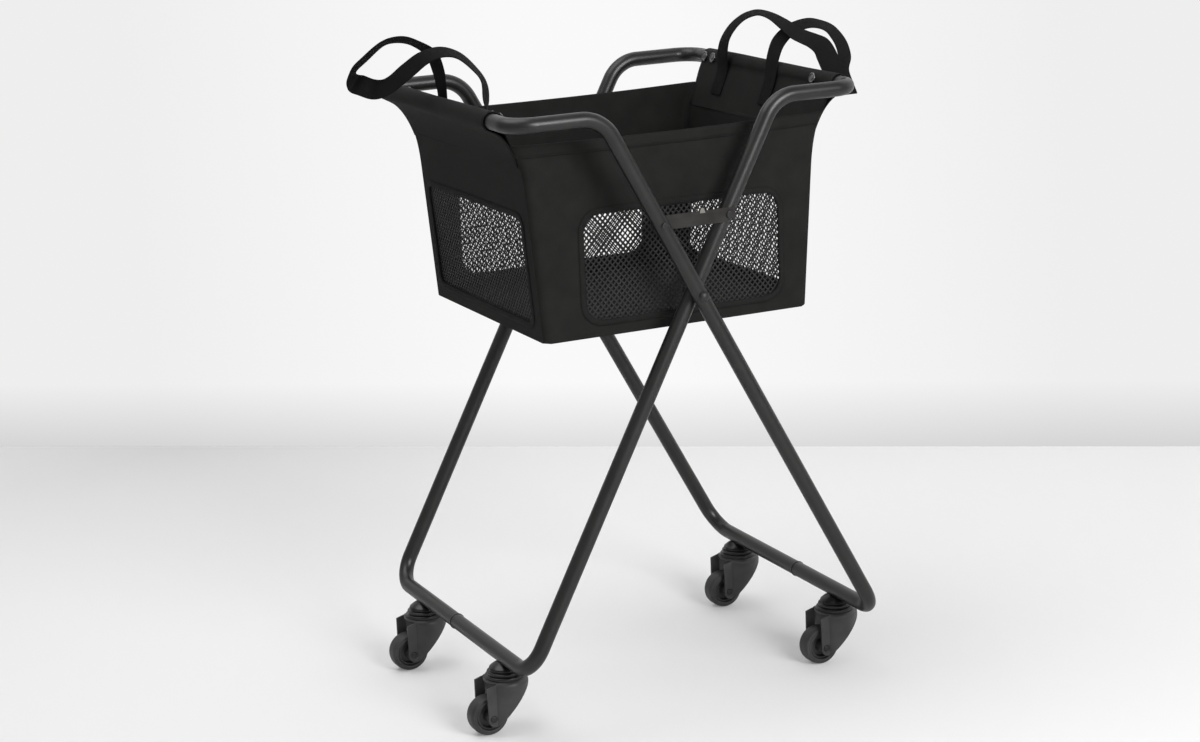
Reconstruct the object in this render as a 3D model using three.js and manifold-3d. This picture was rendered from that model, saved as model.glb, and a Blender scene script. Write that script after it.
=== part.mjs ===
// A folding ball cart: two closed loops of bent tube cross like scissors, a fabric basket with mesh
// windows hangs between their top bars, a latch plate holds the legs apart, and four swivel
// casters carry the base bars. Millimetres, +Z up, X along the basket, the ground at z = 0.
import * as THREE from "three";
import { mergeVertices } from "three/addons/utils/BufferGeometryUtils.js";
import Module from "manifold-3d";

const wasm = await Module();
wasm.setup();

// Clearances and mesh fineness
const seat_gap = 0.3;
const cut_overrun = 1;
const weld_distance = 0.0001;
const tube_sides = 16;
const bend_steps_per_turn = 20;
const turned_sides = 24;

// Wheels: a tyre on a moulded hub
const wheel_d = 57;
const wheel_w = 27;
const tyre_t = 9;
const tyre_shoulder = 3;
const hub_rim_t = 3;
const hub_web_w = 8;
const hub_boss_d = 16;
const axle_d = 8;
const axle_head_d = 11;
const axle_head_t = 4;
const axle_stub = 2;

// Swivel forks: a pressed horn with two ears under a round crown
const crown_d = 62;
const crown_past_axle = 2;
const fork_rise = 47;
const fork_ear_inset = 9.5;
const fork_ear_t = 2.5;
const fork_nose_d = 38;
const fork_back_past = 8;
const fork_waist_out_share = 0.03;
const fork_waist_up_share = 0.38;
const horn_steps = 14;
const crown_t = 2.5;
const king_pin_d = 10;
const king_head_d = 18;
const king_head_t = 4;

// Bearing race between crown and saddle, and the saddle under the base bar
const race_inset = 1;
const race_h = 16.2;
const race_rim_h = 3.5;
const saddle_l = 44;
const saddle_w = 26;
const saddle_floor_t = 4.4;
const saddle_wrap = 5;
const caster_inset = 94;

// Frame loops
const tube_d = 22;
const loop_half_width = 246;
const leg_gap = 2;
const base_half_length = 270;
const top_half_length = 266;
const pivot_rise = 506;
const top_rise = 258;
const base_corner_r = 40;
const top_corner_r = 34;
const leg_bend_r = 52;

// Pivot bolts through both legs
const pivot_bolt_d = 8;
const pivot_head_d = 15;
const pivot_head_t = 5;
const pivot_washer_d = 20;
const pivot_nut_af = 13;
const pivot_nut_t = 6.5;
const pivot_stub = 2;

// Latch plate, its rivet and the pin that it hooks on
const latch_rise = 104;
const latch_w = 23;
const latch_past_pin = 15;
const latch_rivet_d = 6;
const latch_pin_d = 6;
const latch_head_d = 11;
const latch_head_t = 2;
const latch_slot_clearance = 0.6;
const latch_tab_w = 9;
const latch_tab_h = 5;
const latch_tab_share = 0.55;
const latch_lift_ratio = 2;

// Basket of coated cloth
const cloth_t = 2.4;
const basket_end_inset = 61;
const basket_side_inset = 49;
const basket_shift = 5;
const basket_drop = 312;
const basket_taper_share = 0.078;
const flare_start_drop = 116;
const flare_end_drop = 15;
const flare_past_bar = 3;
const rim_drop = 36;
const flare_power = 2.4;
const profile_steps = 9;

// Sleeves round the top bars, with a hem stitched to the end panels
const sleeve_t = 2.1;
const hem_drop = 68;
const hem_step = 1.6;

// Mesh windows
const window_corner_r = 25;
const window_margin = 54;
const window_shift = 10;
const window_top_drop = 141;
const window_bottom_drop = 289;
const end_window_margin = 32;
const end_window_shift = 3;
const end_window_corner_r = 12;
const net_t = 1;
const net_border = 9;
const net_strand = 3;
const net_columns = 10;
const net_rows = 6;
const end_net_columns = 6;
const end_net_rows = 7;

// Carry straps of webbing
const strap_w = 30;
const strap_t = 2;
const strap_root_drop = 46;
const strap_reach = 86;
const strap_height = 95;
const strap_samples = 60;

// Places that follow from the sizes
const tube_r = tube_d / 2;
const wheel_r = wheel_d / 2;
const trail = crown_d / 2 - crown_past_axle;
const fork_ear_span = crown_d - 2 * fork_ear_inset;
const fork_back_reach = trail + fork_back_past;
const race_d = crown_d - 2 * race_inset;
const crown_z = wheel_r + fork_rise;
const race_z = crown_z + crown_t + seat_gap;
const saddle_z = race_z + race_h + seat_gap;
const base_z = saddle_z + saddle_floor_t + seat_gap + tube_r;
const pivot_z = base_z + pivot_rise;
const bar_z = pivot_z + top_rise;
const loop_offset = (tube_d + leg_gap) / 2;
const hub_boss_w = fork_ear_span - 2 * fork_ear_t - 2 * seat_gap;
const lean = base_half_length / pivot_rise;
const gap_plane_y = loop_half_width;
const caster_half_spacing = loop_half_width - caster_inset;
const basket_half_length = top_half_length - basket_end_inset;
const basket_half_width = loop_half_width - basket_side_inset;
const window_half_length = basket_half_length - window_margin;
const end_window_half_width = basket_half_width - end_window_margin;

// Finishes
const finish = (color, roughness, metalness) =>
  new THREE.MeshStandardMaterial({ color, roughness, metalness });
const paint = finish(0x2a2a2b, 0.42, 0.3);
const caster_paint = finish(0x222223, 0.45, 0.35);
const steel = finish(0x3a3a3c, 0.4, 0.8);
const tyre_rubber = finish(0x1c1c1d, 0.7, 0);
const hub_plastic = finish(0x3b3b3c, 0.55, 0);
const cloth = finish(0x1b1b1b, 0.85, 0);
const mesh_cloth = finish(0x141414, 0.8, 0);
const webbing = finish(0x181818, 0.9, 0);

// Solids from geometries and back
function solid(geometry) {
  const plain = geometry.clone();
  plain.deleteAttribute("normal");
  plain.deleteAttribute("uv");
  const merged = mergeVertices(plain, weld_distance);
  const vertProperties = merged.getAttribute("position").array;
  const triVerts = new Uint32Array(merged.index.array);
  return new wasm.Manifold(new wasm.Mesh({ numProp: 3, vertProperties, triVerts }));
}

function geometryOf(body) {
  const { vertProperties, triVerts } = body.getMesh();
  const geometry = new THREE.BufferGeometry();
  geometry.setAttribute("position", new THREE.BufferAttribute(vertProperties, 3));
  geometry.setIndex(new THREE.BufferAttribute(triVerts, 1));
  geometry.computeVertexNormals();
  return geometry;
}

function cut(geometry, ...tools) {
  return geometryOf(tools.reduce((body, tool) => body.subtract(solid(tool)), solid(geometry)));
}

function join(first, ...others) {
  return geometryOf(others.reduce((body, other) => body.add(solid(other)), solid(first)));
}

function piece(name, geometry, material, parent) {
  const mesh = new THREE.Mesh(geometry, material);
  mesh.name = name;
  parent.add(mesh);
  return mesh;
}

// Flat outlines pulled along an axis. The outline's second coordinate is Z on upright pieces.
const axes = {
  x: new THREE.Vector3(1, 0, 0),
  y: new THREE.Vector3(0, 1, 0),
  z: new THREE.Vector3(0, 0, 1),
};
const pull = (shape, depth, curveSegments = 6) =>
  new THREE.ExtrudeGeometry(shape, { depth, bevelEnabled: false, curveSegments });

function alongX(shape, from, to) {
  const turned = new THREE.Matrix4().makeBasis(axes.y, axes.z, axes.x);
  return pull(shape, to - from).applyMatrix4(turned).translate(from, 0, 0);
}

function alongY(shape, from, to) {
  const turned = new THREE.Matrix4().makeBasis(axes.x, axes.z, axes.y.clone().negate());
  return pull(shape, to - from).applyMatrix4(turned).translate(0, to, 0);
}

const alongZ = (shape, from, to, fineness) => pull(shape, to - from, fineness).translate(0, 0, from);

const outline = (points) => new THREE.Shape(points.map(([u, v]) => new THREE.Vector2(u, v)));

function disc(radius, sides = turned_sides, u = 0, v = 0, start = 0) {
  const turn = (k) => start + (2 * Math.PI * k) / sides;
  const rim = (k) => [u + radius * Math.cos(turn(k)), v + radius * Math.sin(turn(k))];
  return outline(Array.from({ length: sides }, (_, k) => rim(k)));
}

const hexagon = (across_flats) => disc(across_flats / 2 / Math.cos(Math.PI / 6), 6);

function roundedRectangle(u0, v0, u1, v1, r) {
  const shape = new THREE.Shape();
  const quarter = Math.PI / 2;
  shape.absarc(u1 - r, v1 - r, r, 0, quarter);
  shape.absarc(u0 + r, v1 - r, r, quarter, 2 * quarter);
  shape.absarc(u0 + r, v0 + r, r, 2 * quarter, 3 * quarter);
  shape.absarc(u1 - r, v0 + r, r, 3 * quarter, 4 * quarter);
  return shape;
}

// A turned piece about Z; its profile lists [radius, height] from the bottom up, outside last.
const turnedAboutZ = (profile) =>
  new THREE.LatheGeometry(profile.map(([r, h]) => new THREE.Vector2(r, h)), turned_sides)
    .rotateX(Math.PI / 2);

// A turned piece about Y, with one facet square to Z so that a tyre rests on a flat.
const turnedAboutY = (profile) =>
  new THREE.LatheGeometry(profile.map(([r, h]) => new THREE.Vector2(r, h)), turned_sides)
    .rotateY(Math.PI / turned_sides);

// The flats of a turned piece lie at this share of its corner radius.
const corner_share = 1 / Math.cos(Math.PI / turned_sides);

// A closed tube along a route of straight runs and round bends.
function roundedRoute(corners) {
  const stations = [];
  corners.forEach(({ at, r }, i) => {
    const before = corners.at(i - 1).at;
    const after = corners[(i + 1) % corners.length].at;
    const arriving = at.clone().sub(before).normalize();
    const leaving = after.clone().sub(at).normalize();
    const turn = arriving.angleTo(leaving);
    const axis = arriving.clone().cross(leaving).normalize();
    const inward = axis.clone().cross(arriving);
    const start = at.clone().addScaledVector(arriving, -r * Math.tan(turn / 2));
    const centre = start.clone().addScaledVector(inward, r);
    const steps = Math.ceil((turn / (2 * Math.PI)) * bend_steps_per_turn);
    for (let k = 0; k <= steps; k++) {
      const angle = (turn * k) / steps;
      const spoke = inward.clone().negate().applyAxisAngle(axis, angle);
      const heading = arriving.clone().applyAxisAngle(axis, angle);
      stations.push({ at: centre.clone().addScaledVector(spoke, r), heading });
    }
  });
  return stations;
}

function closedTube(stations, radius, firstSide) {
  const positions = [];
  const index = [];
  const carry = (side, from, to) =>
    side.clone().applyQuaternion(new THREE.Quaternion().setFromUnitVectors(from, to));
  let side = firstSide.clone();
  stations.forEach(({ at, heading }, i) => {
    if (i > 0) side = carry(side, stations[i - 1].heading, heading);
    const up = heading.clone().cross(side);
    for (let k = 0; k < tube_sides; k++) {
      const angle = (2 * Math.PI * k) / tube_sides;
      const spoke = side.clone().multiplyScalar(Math.cos(angle)).addScaledVector(up, Math.sin(angle));
      positions.push(...at.clone().addScaledVector(spoke, radius).toArray());
    }
  });
  // The frame turns by whole quarter turns round the loop, so the last ring meets the first one.
  const first = stations[0].heading;
  const last = carry(side, stations.at(-1).heading, first);
  const twist = Math.atan2(last.dot(first.clone().cross(firstSide)), last.dot(firstSide));
  const shift = Math.round((twist / (2 * Math.PI)) * tube_sides);
  const rings = stations.length;
  for (let i = 0; i < rings; i++) {
    const slip = i === rings - 1 ? shift : 0;
    const here = (k) => i * tube_sides + ((k + tube_sides) % tube_sides);
    const next = (k) => ((i + 1) % rings) * tube_sides + ((k + slip + 2 * tube_sides) % tube_sides);
    for (let k = 0; k < tube_sides; k++) {
      index.push(here(k), here(k + 1), next(k), here(k + 1), next(k + 1), next(k));
    }
  }
  const geometry = new THREE.BufferGeometry();
  geometry.setAttribute("position", new THREE.Float32BufferAttribute(positions, 3));
  geometry.setIndex(index);
  geometry.computeVertexNormals();
  return geometry;
}

// Frame loops. side is +1 for the loop whose base bar is at +X, -1 for the other one.
const bend_x = lean * top_rise;
const legX = (side, z) => -side * lean * (z - pivot_z);

function frameLoop(side) {
  const near = -loop_half_width - side * loop_offset;
  const far = loop_half_width - side * loop_offset;
  const corner = (x, y, z, r) => ({ at: new THREE.Vector3(x, y, z), r });
  const route = roundedRoute([
    corner(side * base_half_length, far, base_z, base_corner_r),
    corner(-side * bend_x, far, bar_z, leg_bend_r),
    corner(-side * top_half_length, far, bar_z, top_corner_r),
    corner(-side * top_half_length, near, bar_z, top_corner_r),
    corner(-side * bend_x, near, bar_z, leg_bend_r),
    corner(side * base_half_length, near, base_z, base_corner_r),
  ]);
  const legAcross = new THREE.Vector3(pivot_rise, 0, side * base_half_length).normalize();
  const holes = [near, far].map((y) => crossHole(0, pivot_z, y, pivot_bolt_d));
  const latch_x = legX(side, pivot_z + latch_rise);
  const latch_d = side > 0 ? latch_rivet_d : latch_pin_d;
  holes.push(crossHole(latch_x, pivot_z + latch_rise, near, latch_d));
  return cut(closedTube(route, tube_r, legAcross), ...holes);
}

// A hole across a leg for a shank of the given diameter.
function crossHole(x, z, y, shank_d) {
  const reach = tube_r + cut_overrun;
  return alongY(disc(shank_d / 2 + seat_gap, 16, x, z), y - reach, y + reach);
}

// Pivot bolts, washers and nuts. The front set is turned half round for the back legs.
function pivotSet() {
  const head_y = -(gap_plane_y + leg_gap / 2 + tube_d + seat_gap);
  const nut_y = -(gap_plane_y - leg_gap / 2 - tube_d - seat_gap);
  const end_y = nut_y + pivot_nut_t + pivot_stub;
  const shank = alongY(disc(pivot_bolt_d / 2, 16), head_y - cut_overrun, end_y);
  const dome = new THREE.Shape();
  dome.moveTo(0, -pivot_head_t);
  dome.absellipse(0, 0, pivot_head_d / 2, pivot_head_t, -Math.PI / 2, 0);
  const dome_profile = dome.getPoints(3).map((p) => [p.x, p.y]).concat([[0, 0]]);
  const head = turnedAboutY(dome_profile).translate(0, head_y, 0);
  const nut_shape = hexagon(pivot_nut_af);
  nut_shape.holes.push(disc(pivot_bolt_d / 2 + seat_gap, 16));
  const washer_shape = disc(pivot_washer_d / 2, 24);
  washer_shape.holes.push(disc(pivot_bolt_d / 2 + seat_gap, 16));
  const washer_y = leg_gap / 2 - seat_gap;
  return {
    bolt: join(head, shank),
    washer: alongY(washer_shape, -gap_plane_y - washer_y, -gap_plane_y + washer_y),
    nut: alongY(nut_shape, nut_y, nut_y + pivot_nut_t),
  };
}

function addPivots(cart) {
  const set = pivotSet();
  for (const [place, turn] of [["front", 0], ["back", Math.PI]]) {
    const pivot = new THREE.Group();
    pivot.position.z = pivot_z;
    pivot.rotation.z = turn;
    piece(`pivot_bolt_${place}`, set.bolt, steel, pivot);
    piece(`pivot_washer_${place}`, set.washer, steel, pivot);
    piece(`pivot_nut_${place}`, set.nut, steel, pivot);
    cart.add(pivot);
  }
}

// Latch: a flat strip riveted to one leg, whose hooked slot drops over a pin on the other leg.
const latch_span = 2 * lean * latch_rise;

// Where the pin stands in the plate's own frame once the cart has folded by an angle.
function pinInPlate(fold) {
  const rivet = new THREE.Vector2(-latch_span / 2, latch_rise);
  const pin = new THREE.Vector2(latch_span / 2, latch_rise).rotateAround(new THREE.Vector2(), fold);
  return pin.sub(rivet).rotateAround(new THREE.Vector2(), -latch_lift_ratio * fold);
}

function latchSlot() {
  const half = latch_pin_d / 2 + latch_slot_clearance;
  const exit = (latch_w / 2 + latch_pin_d) / (latch_span * (latch_lift_ratio - 1 / 2));
  const steps = 6;
  const path = Array.from({ length: steps + 1 }, (_, k) => pinInPlate((exit * k) / steps));
  const left = [];
  const right = [];
  path.forEach((point, k) => {
    const ahead = path[Math.min(k + 1, steps)].clone().sub(path[Math.max(k - 1, 0)]).normalize();
    left.push([point.x - ahead.y * half, point.y + ahead.x * half]);
    right.push([point.x + ahead.y * half, point.y - ahead.x * half]);
  });
  const way = join(
    alongY(outline([...right, ...left.reverse()]), -cut_overrun, 2 * cut_overrun + leg_gap),
    alongY(disc(half, 24, latch_span, 0), -cut_overrun, 2 * cut_overrun + leg_gap),
  );
  return way;
}

function addLatch(cart) {
  const plate_half = leg_gap / 2 - seat_gap;
  const end = latch_span + latch_past_pin;
  const half = latch_w / 2;
  const corner = half / 3;
  const shape = new THREE.Shape();
  shape.absarc(0, 0, half, Math.PI / 2, 1.5 * Math.PI);
  shape.absarc(end - corner, -half + corner, corner, -Math.PI / 2, 0);
  shape.absarc(end - corner, half - corner, corner, 0, Math.PI / 2);
  const tab = latch_span * latch_tab_share;
  shape.lineTo(tab + latch_tab_w / 2, half);
  shape.lineTo(tab + latch_tab_w / 4, half + latch_tab_h);
  shape.lineTo(tab - latch_tab_w / 4, half + latch_tab_h);
  shape.lineTo(tab - latch_tab_w / 2, half);
  shape.holes.push(disc(latch_rivet_d / 2 + seat_gap, 16));
  const strip = alongY(shape, -plate_half, plate_half);
  const slot = latchSlot().translate(0, -leg_gap, 0);

  const latch = new THREE.Group();
  latch.position.set(-latch_span / 2, -gap_plane_y, pivot_z + latch_rise);
  piece("latch_plate", cut(strip, slot), steel, latch);

  // The rivet is headed on the outer face of its leg and again behind the plate.
  const outer = -(leg_gap / 2 + tube_d + seat_gap);
  const inner = plate_half + seat_gap;
  const rivet_head = disc(latch_head_d / 2, 20);
  piece("latch_rivet", join(
    alongY(rivet_head, outer - latch_head_t, outer),
    alongY(disc(latch_rivet_d / 2, 16), outer - latch_head_t / 2, inner + latch_head_t / 2),
    alongY(rivet_head, inner, inner + latch_head_t),
  ), steel, latch);

  // The pin is headed in front of the plate and behind its own leg.
  const back = leg_gap / 2 + tube_d + seat_gap;
  const front = -plate_half - seat_gap;
  const pin = piece("latch_pin", join(
    alongY(disc(latch_head_d / 2, 20), front - latch_head_t, front),
    alongY(disc(latch_pin_d / 2, 16), front - latch_head_t / 2, back + latch_head_t / 2),
    alongY(disc(latch_head_d / 2, 20), back, back + latch_head_t),
  ), steel, latch);
  pin.position.x = latch_span;
  cart.add(latch);
}

// Casters, each in a group whose origin is on the ground under the king pin.
function tyre() {
  const r = wheel_r * corner_share;
  const inner = (wheel_r - tyre_t) * corner_share;
  const half = wheel_w / 2;
  const soft = tyre_shoulder;
  return turnedAboutY([
    [inner, -half + soft],
    [inner + soft, -half],
    [r - soft, -half + soft / 3],
    [r, -half + soft],
    [r, half - soft],
    [r - soft, half - soft / 3],
    [inner + soft, half],
    [inner, half - soft],
    [inner, -half + soft],
  ]);
}

function hub() {
  const r = wheel_r - tyre_t - seat_gap;
  const rim = r - hub_rim_t;
  const bore = axle_d / 2 + seat_gap;
  const boss = hub_boss_d / 2;
  const half = wheel_w / 2 - tyre_shoulder;
  return turnedAboutY([
    [bore, -hub_boss_w / 2],
    [boss, -hub_boss_w / 2],
    [boss, -hub_web_w / 2],
    [rim, -hub_web_w / 2],
    [rim, -half],
    [r, -half],
    [r, half],
    [rim, half],
    [rim, hub_web_w / 2],
    [boss, hub_web_w / 2],
    [boss, hub_boss_w / 2],
    [bore, hub_boss_w / 2],
    [bore, -hub_boss_w / 2],
  ]);
}

function fork() {
  // Side view: down the straight back edge, round the nose and up the swept front edge.
  const nose = fork_nose_d / 2;
  const top = crown_z + crown_t;
  const back_angle = Math.PI + Math.acos((fork_back_reach - trail) / nose);
  const front_angle = (16 / 9) * Math.PI;
  const waist = { x: trail * fork_waist_out_share, z: wheel_r + fork_rise * fork_waist_up_share };
  const side = new THREE.Shape();
  side.absarc(-trail, wheel_r, nose, back_angle, front_angle);
  side.quadraticCurveTo(waist.x, waist.z, crown_d / 2, crown_z);
  side.lineTo(crown_d / 2, top);
  side.lineTo(-fork_back_reach, top);
  side.closePath();
  const overrun = crown_d / 2 + cut_overrun;
  const profile = solid(alongY(side, -overrun, overrun));

  // Plan view: the wall follows the round crown and runs straight back as two flat ears.
  const horn = solid(alongZ(hornPlan(fork_ear_span / 2, crown_d / 2), 0, top, horn_steps));
  const inside = hornPlan(fork_ear_span / 2 - fork_ear_t, crown_d / 2 - fork_ear_t);
  const hollow = solid(alongZ(inside, -cut_overrun, crown_z, horn_steps));

  // The crown is a round plate, so the horn stands open between the ears behind it.
  const crown = solid(alongZ(disc(crown_d / 2, 4 * horn_steps), 0, top + 2 * cut_overrun));
  const open_back = solid(alongZ(inside, -cut_overrun, top + cut_overrun, horn_steps)).subtract(crown);
  const axle_hole = alongY(disc(axle_d / 2 + seat_gap, 16, -trail, wheel_r), -overrun, overrun);
  const pin_hole = alongZ(disc(king_pin_d / 2 + seat_gap, 16), crown_z - cut_overrun, race_z);
  const shell = horn.intersect(profile).subtract(hollow).subtract(open_back);
  return geometryOf(shell.subtract(solid(axle_hole)).subtract(solid(pin_hole)));
}

// A circle about the king pin that opens into two straight sides towards the trailing edge.
function hornPlan(half_span, r) {
  const meet = Math.PI - Math.asin(half_span / r);
  const back = -(crown_d / 2 + trail);
  const plan = new THREE.Shape();
  plan.absarc(0, 0, r, -meet, meet);
  plan.lineTo(back, half_span);
  plan.lineTo(back, -half_span);
  plan.closePath();
  return plan;
}

function race() {
  const r = race_d / 2;
  const pin = king_pin_d / 2;
  const head = king_head_d / 2;
  const head_z = crown_z - seat_gap;
  const neck = (r + pin) / 2;
  return turnedAboutZ([
    [0, head_z - king_head_t],
    [head, head_z - king_head_t],
    [head, head_z],
    [pin, head_z],
    [pin, race_z],
    [r - race_rim_h, race_z],
    [r, race_z + race_rim_h],
    [r - race_rim_h / 2, race_z + 2 * race_rim_h],
    [r - 2 * race_rim_h, race_z + 3 * race_rim_h],
    [neck, race_z + 4 * race_rim_h],
    [neck - race_rim_h, race_z + race_h],
    [0, race_z + race_h],
  ]);
}

function saddle() {
  const half = saddle_w / 2;
  const top = base_z - tube_r + saddle_wrap;
  const block = alongY(
    outline([[-half, saddle_z], [half, saddle_z], [half, top], [-half, top]]),
    -saddle_l / 2,
    saddle_l / 2,
  );
  const seat = disc(tube_r + seat_gap, 24, 0, base_z);
  return cut(block, alongY(seat, -saddle_l / 2 - cut_overrun, saddle_l / 2 + cut_overrun));
}

function axle() {
  const face = fork_ear_span / 2 + seat_gap;
  const end = face + axle_head_t + axle_stub;
  return join(
    alongY(disc(axle_head_d / 2, 20), -face - axle_head_t, -face),
    alongY(disc(axle_d / 2, 16), -face - axle_head_t / 2, end),
  );
}

function axleNut() {
  const face = fork_ear_span / 2 + seat_gap;
  const shape = hexagon(axle_head_d);
  shape.holes.push(disc(axle_d / 2 + seat_gap, 16));
  return alongY(shape, face, face + axle_head_t);
}

function addCasters(cart) {
  const shapes = {
    saddle: saddle(), race: race(), fork: fork(), tyre: tyre(), hub: hub(), axle: axle(), nut: axleNut(),
  };
  for (const [end, x] of [["left", -base_half_length], ["right", base_half_length]]) {
    for (const [row, y] of [["front", -caster_half_spacing], ["back", caster_half_spacing]]) {
      const name = `caster_${row}_${end}`;
      const caster = new THREE.Group();
      caster.position.set(x, loop_offset + y, 0);
      piece(`${name}_saddle`, shapes.saddle, caster_paint, caster);
      piece(`${name}_race`, shapes.race, caster_paint, caster);
      piece(`${name}_fork`, shapes.fork, caster_paint, caster);
      const wheel = new THREE.Group();
      wheel.position.set(-trail, 0, wheel_r);
      piece(`${name}_tyre`, shapes.tyre, tyre_rubber, wheel);
      piece(`${name}_hub`, shapes.hub, hub_plastic, wheel);
      piece(`${name}_axle`, shapes.axle, steel, wheel);
      piece(`${name}_axle_nut`, shapes.nut, steel, wheel);
      caster.add(wheel);
      cart.add(caster);
    }
  }
}

// Basket. Its end walls lean out and then flare under the top bars.
const floor_z = bar_z - basket_drop;
const rim_z = bar_z - rim_drop;
const hem_z = bar_z - hem_drop;
const front_y = basket_shift - basket_half_width;
const back_y = basket_shift + basket_half_width;

function wallX(z) {
  const taper = basket_half_length + basket_taper_share * (z - floor_z);
  const start = bar_z - flare_start_drop;
  const end = bar_z - flare_end_drop;
  const taper_end = basket_half_length + basket_taper_share * (end - floor_z);
  const climb = THREE.MathUtils.clamp((z - start) / (end - start), 0, 1);
  const flare = top_half_length + flare_past_bar - taper_end;
  return taper + flare * (1 - Math.sqrt(1 - climb ** flare_power));
}

const levels = (from, to) =>
  Array.from({ length: profile_steps + 1 }, (_, k) => from + ((to - from) * k) / profile_steps);

// The straight side walls, cut to the end walls' curve, with a window.
function sideWall(y, inward, shift) {
  const right = levels(floor_z, rim_z).map((z) => [wallX(z), z]);
  const left = right.map(([x, z]) => [-x, z]).reverse();
  const shape = outline([...right, ...left]);
  shape.holes.push(roundedRectangle(
    shift - window_half_length, bar_z - window_bottom_drop,
    shift + window_half_length, bar_z - window_top_drop, window_corner_r));
  return alongY(shape, Math.min(y, y + inward * cloth_t), Math.max(y, y + inward * cloth_t));
}

const end_from = front_y + cloth_t + seat_gap;
const end_to = back_y - cloth_t - seat_gap;
const end_window_y = basket_shift + end_window_shift;

function endWall(side) {
  const outer = levels(floor_z, hem_z - seat_gap).map((z) => [side * wallX(z), z]);
  const inner = outer.map(([x, z]) => [x - side * cloth_t, z]).reverse();
  const ring = side > 0 ? [...outer, ...inner] : [...outer, ...inner].reverse();
  const wall = alongY(outline(ring), end_from, end_to);
  const window_shape = roundedRectangle(
    end_window_y - end_window_half_width, bar_z - window_bottom_drop,
    end_window_y + end_window_half_width, bar_z - window_top_drop, end_window_corner_r);
  const reach = wallX(hem_z) + cut_overrun;
  return cut(wall, alongX(window_shape, side > 0 ? 0 : -reach, side > 0 ? reach : 0));
}

// Nets: a flat border round staggered diamond gaps.
function netShape(u0, v0, u1, v1, columns, rows) {
  const shape = outline([
    [u0 - net_border, v0 - net_border], [u1 + net_border, v0 - net_border],
    [u1 + net_border, v1 + net_border], [u0 - net_border, v1 + net_border],
  ]);
  const pitch_u = (u1 - u0) / columns;
  const pitch_v = (v1 - v0) / (rows + 1);
  for (let row = 0; row < rows; row++) {
    const odd = row % 2;
    for (let column = 0; column < columns - odd; column++) {
      const u = u0 + (column + 0.5 + odd / 2) * pitch_u;
      const v = v0 + (row + 1) * pitch_v;
      const half_u = pitch_u / 2 - net_strand;
      const half_v = pitch_v - net_strand;
      shape.holes.push(outline([[u + half_u, v], [u, v + half_v], [u - half_u, v], [u, v - half_v]]));
    }
  }
  return shape;
}

function sideNet(y, inward, shift) {
  const shape = netShape(
    shift - window_half_length, bar_z - window_bottom_drop,
    shift + window_half_length, bar_z - window_top_drop, net_columns, net_rows);
  const face = y + inward * (cloth_t + seat_gap);
  return alongY(shape, Math.min(face, face + inward * net_t), Math.max(face, face + inward * net_t));
}

// An end net is drawn flat about its lower edge and leans with the wall behind the window.
function endNet(side) {
  const base = bar_z - window_bottom_drop;
  const shape = netShape(
    end_window_y - end_window_half_width, 0,
    end_window_y + end_window_half_width, window_bottom_drop - window_top_drop,
    end_net_columns, end_net_rows);
  const lean_angle = Math.atan(basket_taper_share);
  const face = wallX(base) - (cloth_t + seat_gap) / Math.cos(lean_angle);
  const net = alongX(shape, side > 0 ? -net_t : 0, side > 0 ? 0 : net_t);
  return net.rotateY(side * lean_angle).translate(side * face, 0, base);
}

function basketFloor() {
  const reach = basket_half_length - cloth_t - seat_gap;
  const sheet = outline([[-reach, end_from], [reach, end_from], [reach, end_to], [-reach, end_to]]);
  return alongZ(sheet, floor_z, floor_z + cloth_t);
}

// Sleeve section: round the bar, down the flared outside to the hem and up the inside.
const sleeve_r = tube_r + seat_gap + sleeve_t;
const hem_inner_x = wallX(hem_z) - cloth_t;

function sleeve(side) {
  const flare_top = bar_z - flare_end_drop - seat_gap;
  const outside = levels(hem_z, flare_top).map((z) => [wallX(z) + hem_step, z]);
  const points = [...outside];
  const turns = 14;
  const from = Math.atan2(-flare_end_drop, flare_past_bar + hem_step);
  for (let k = 1; k <= turns; k++) {
    const angle = from + ((Math.PI - from) * k) / turns;
    points.push([top_half_length + sleeve_r * Math.cos(angle), bar_z + sleeve_r * Math.sin(angle)]);
  }
  points.push([hem_inner_x, hem_z]);
  const ring = points.map(([x, z]) => [side * x, z]);
  const shape = outline(side > 0 ? ring : ring.reverse());
  shape.holes.push(disc(tube_r + seat_gap, 24, side * top_half_length, bar_z));
  return alongY(shape, end_from, end_to);
}

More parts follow.
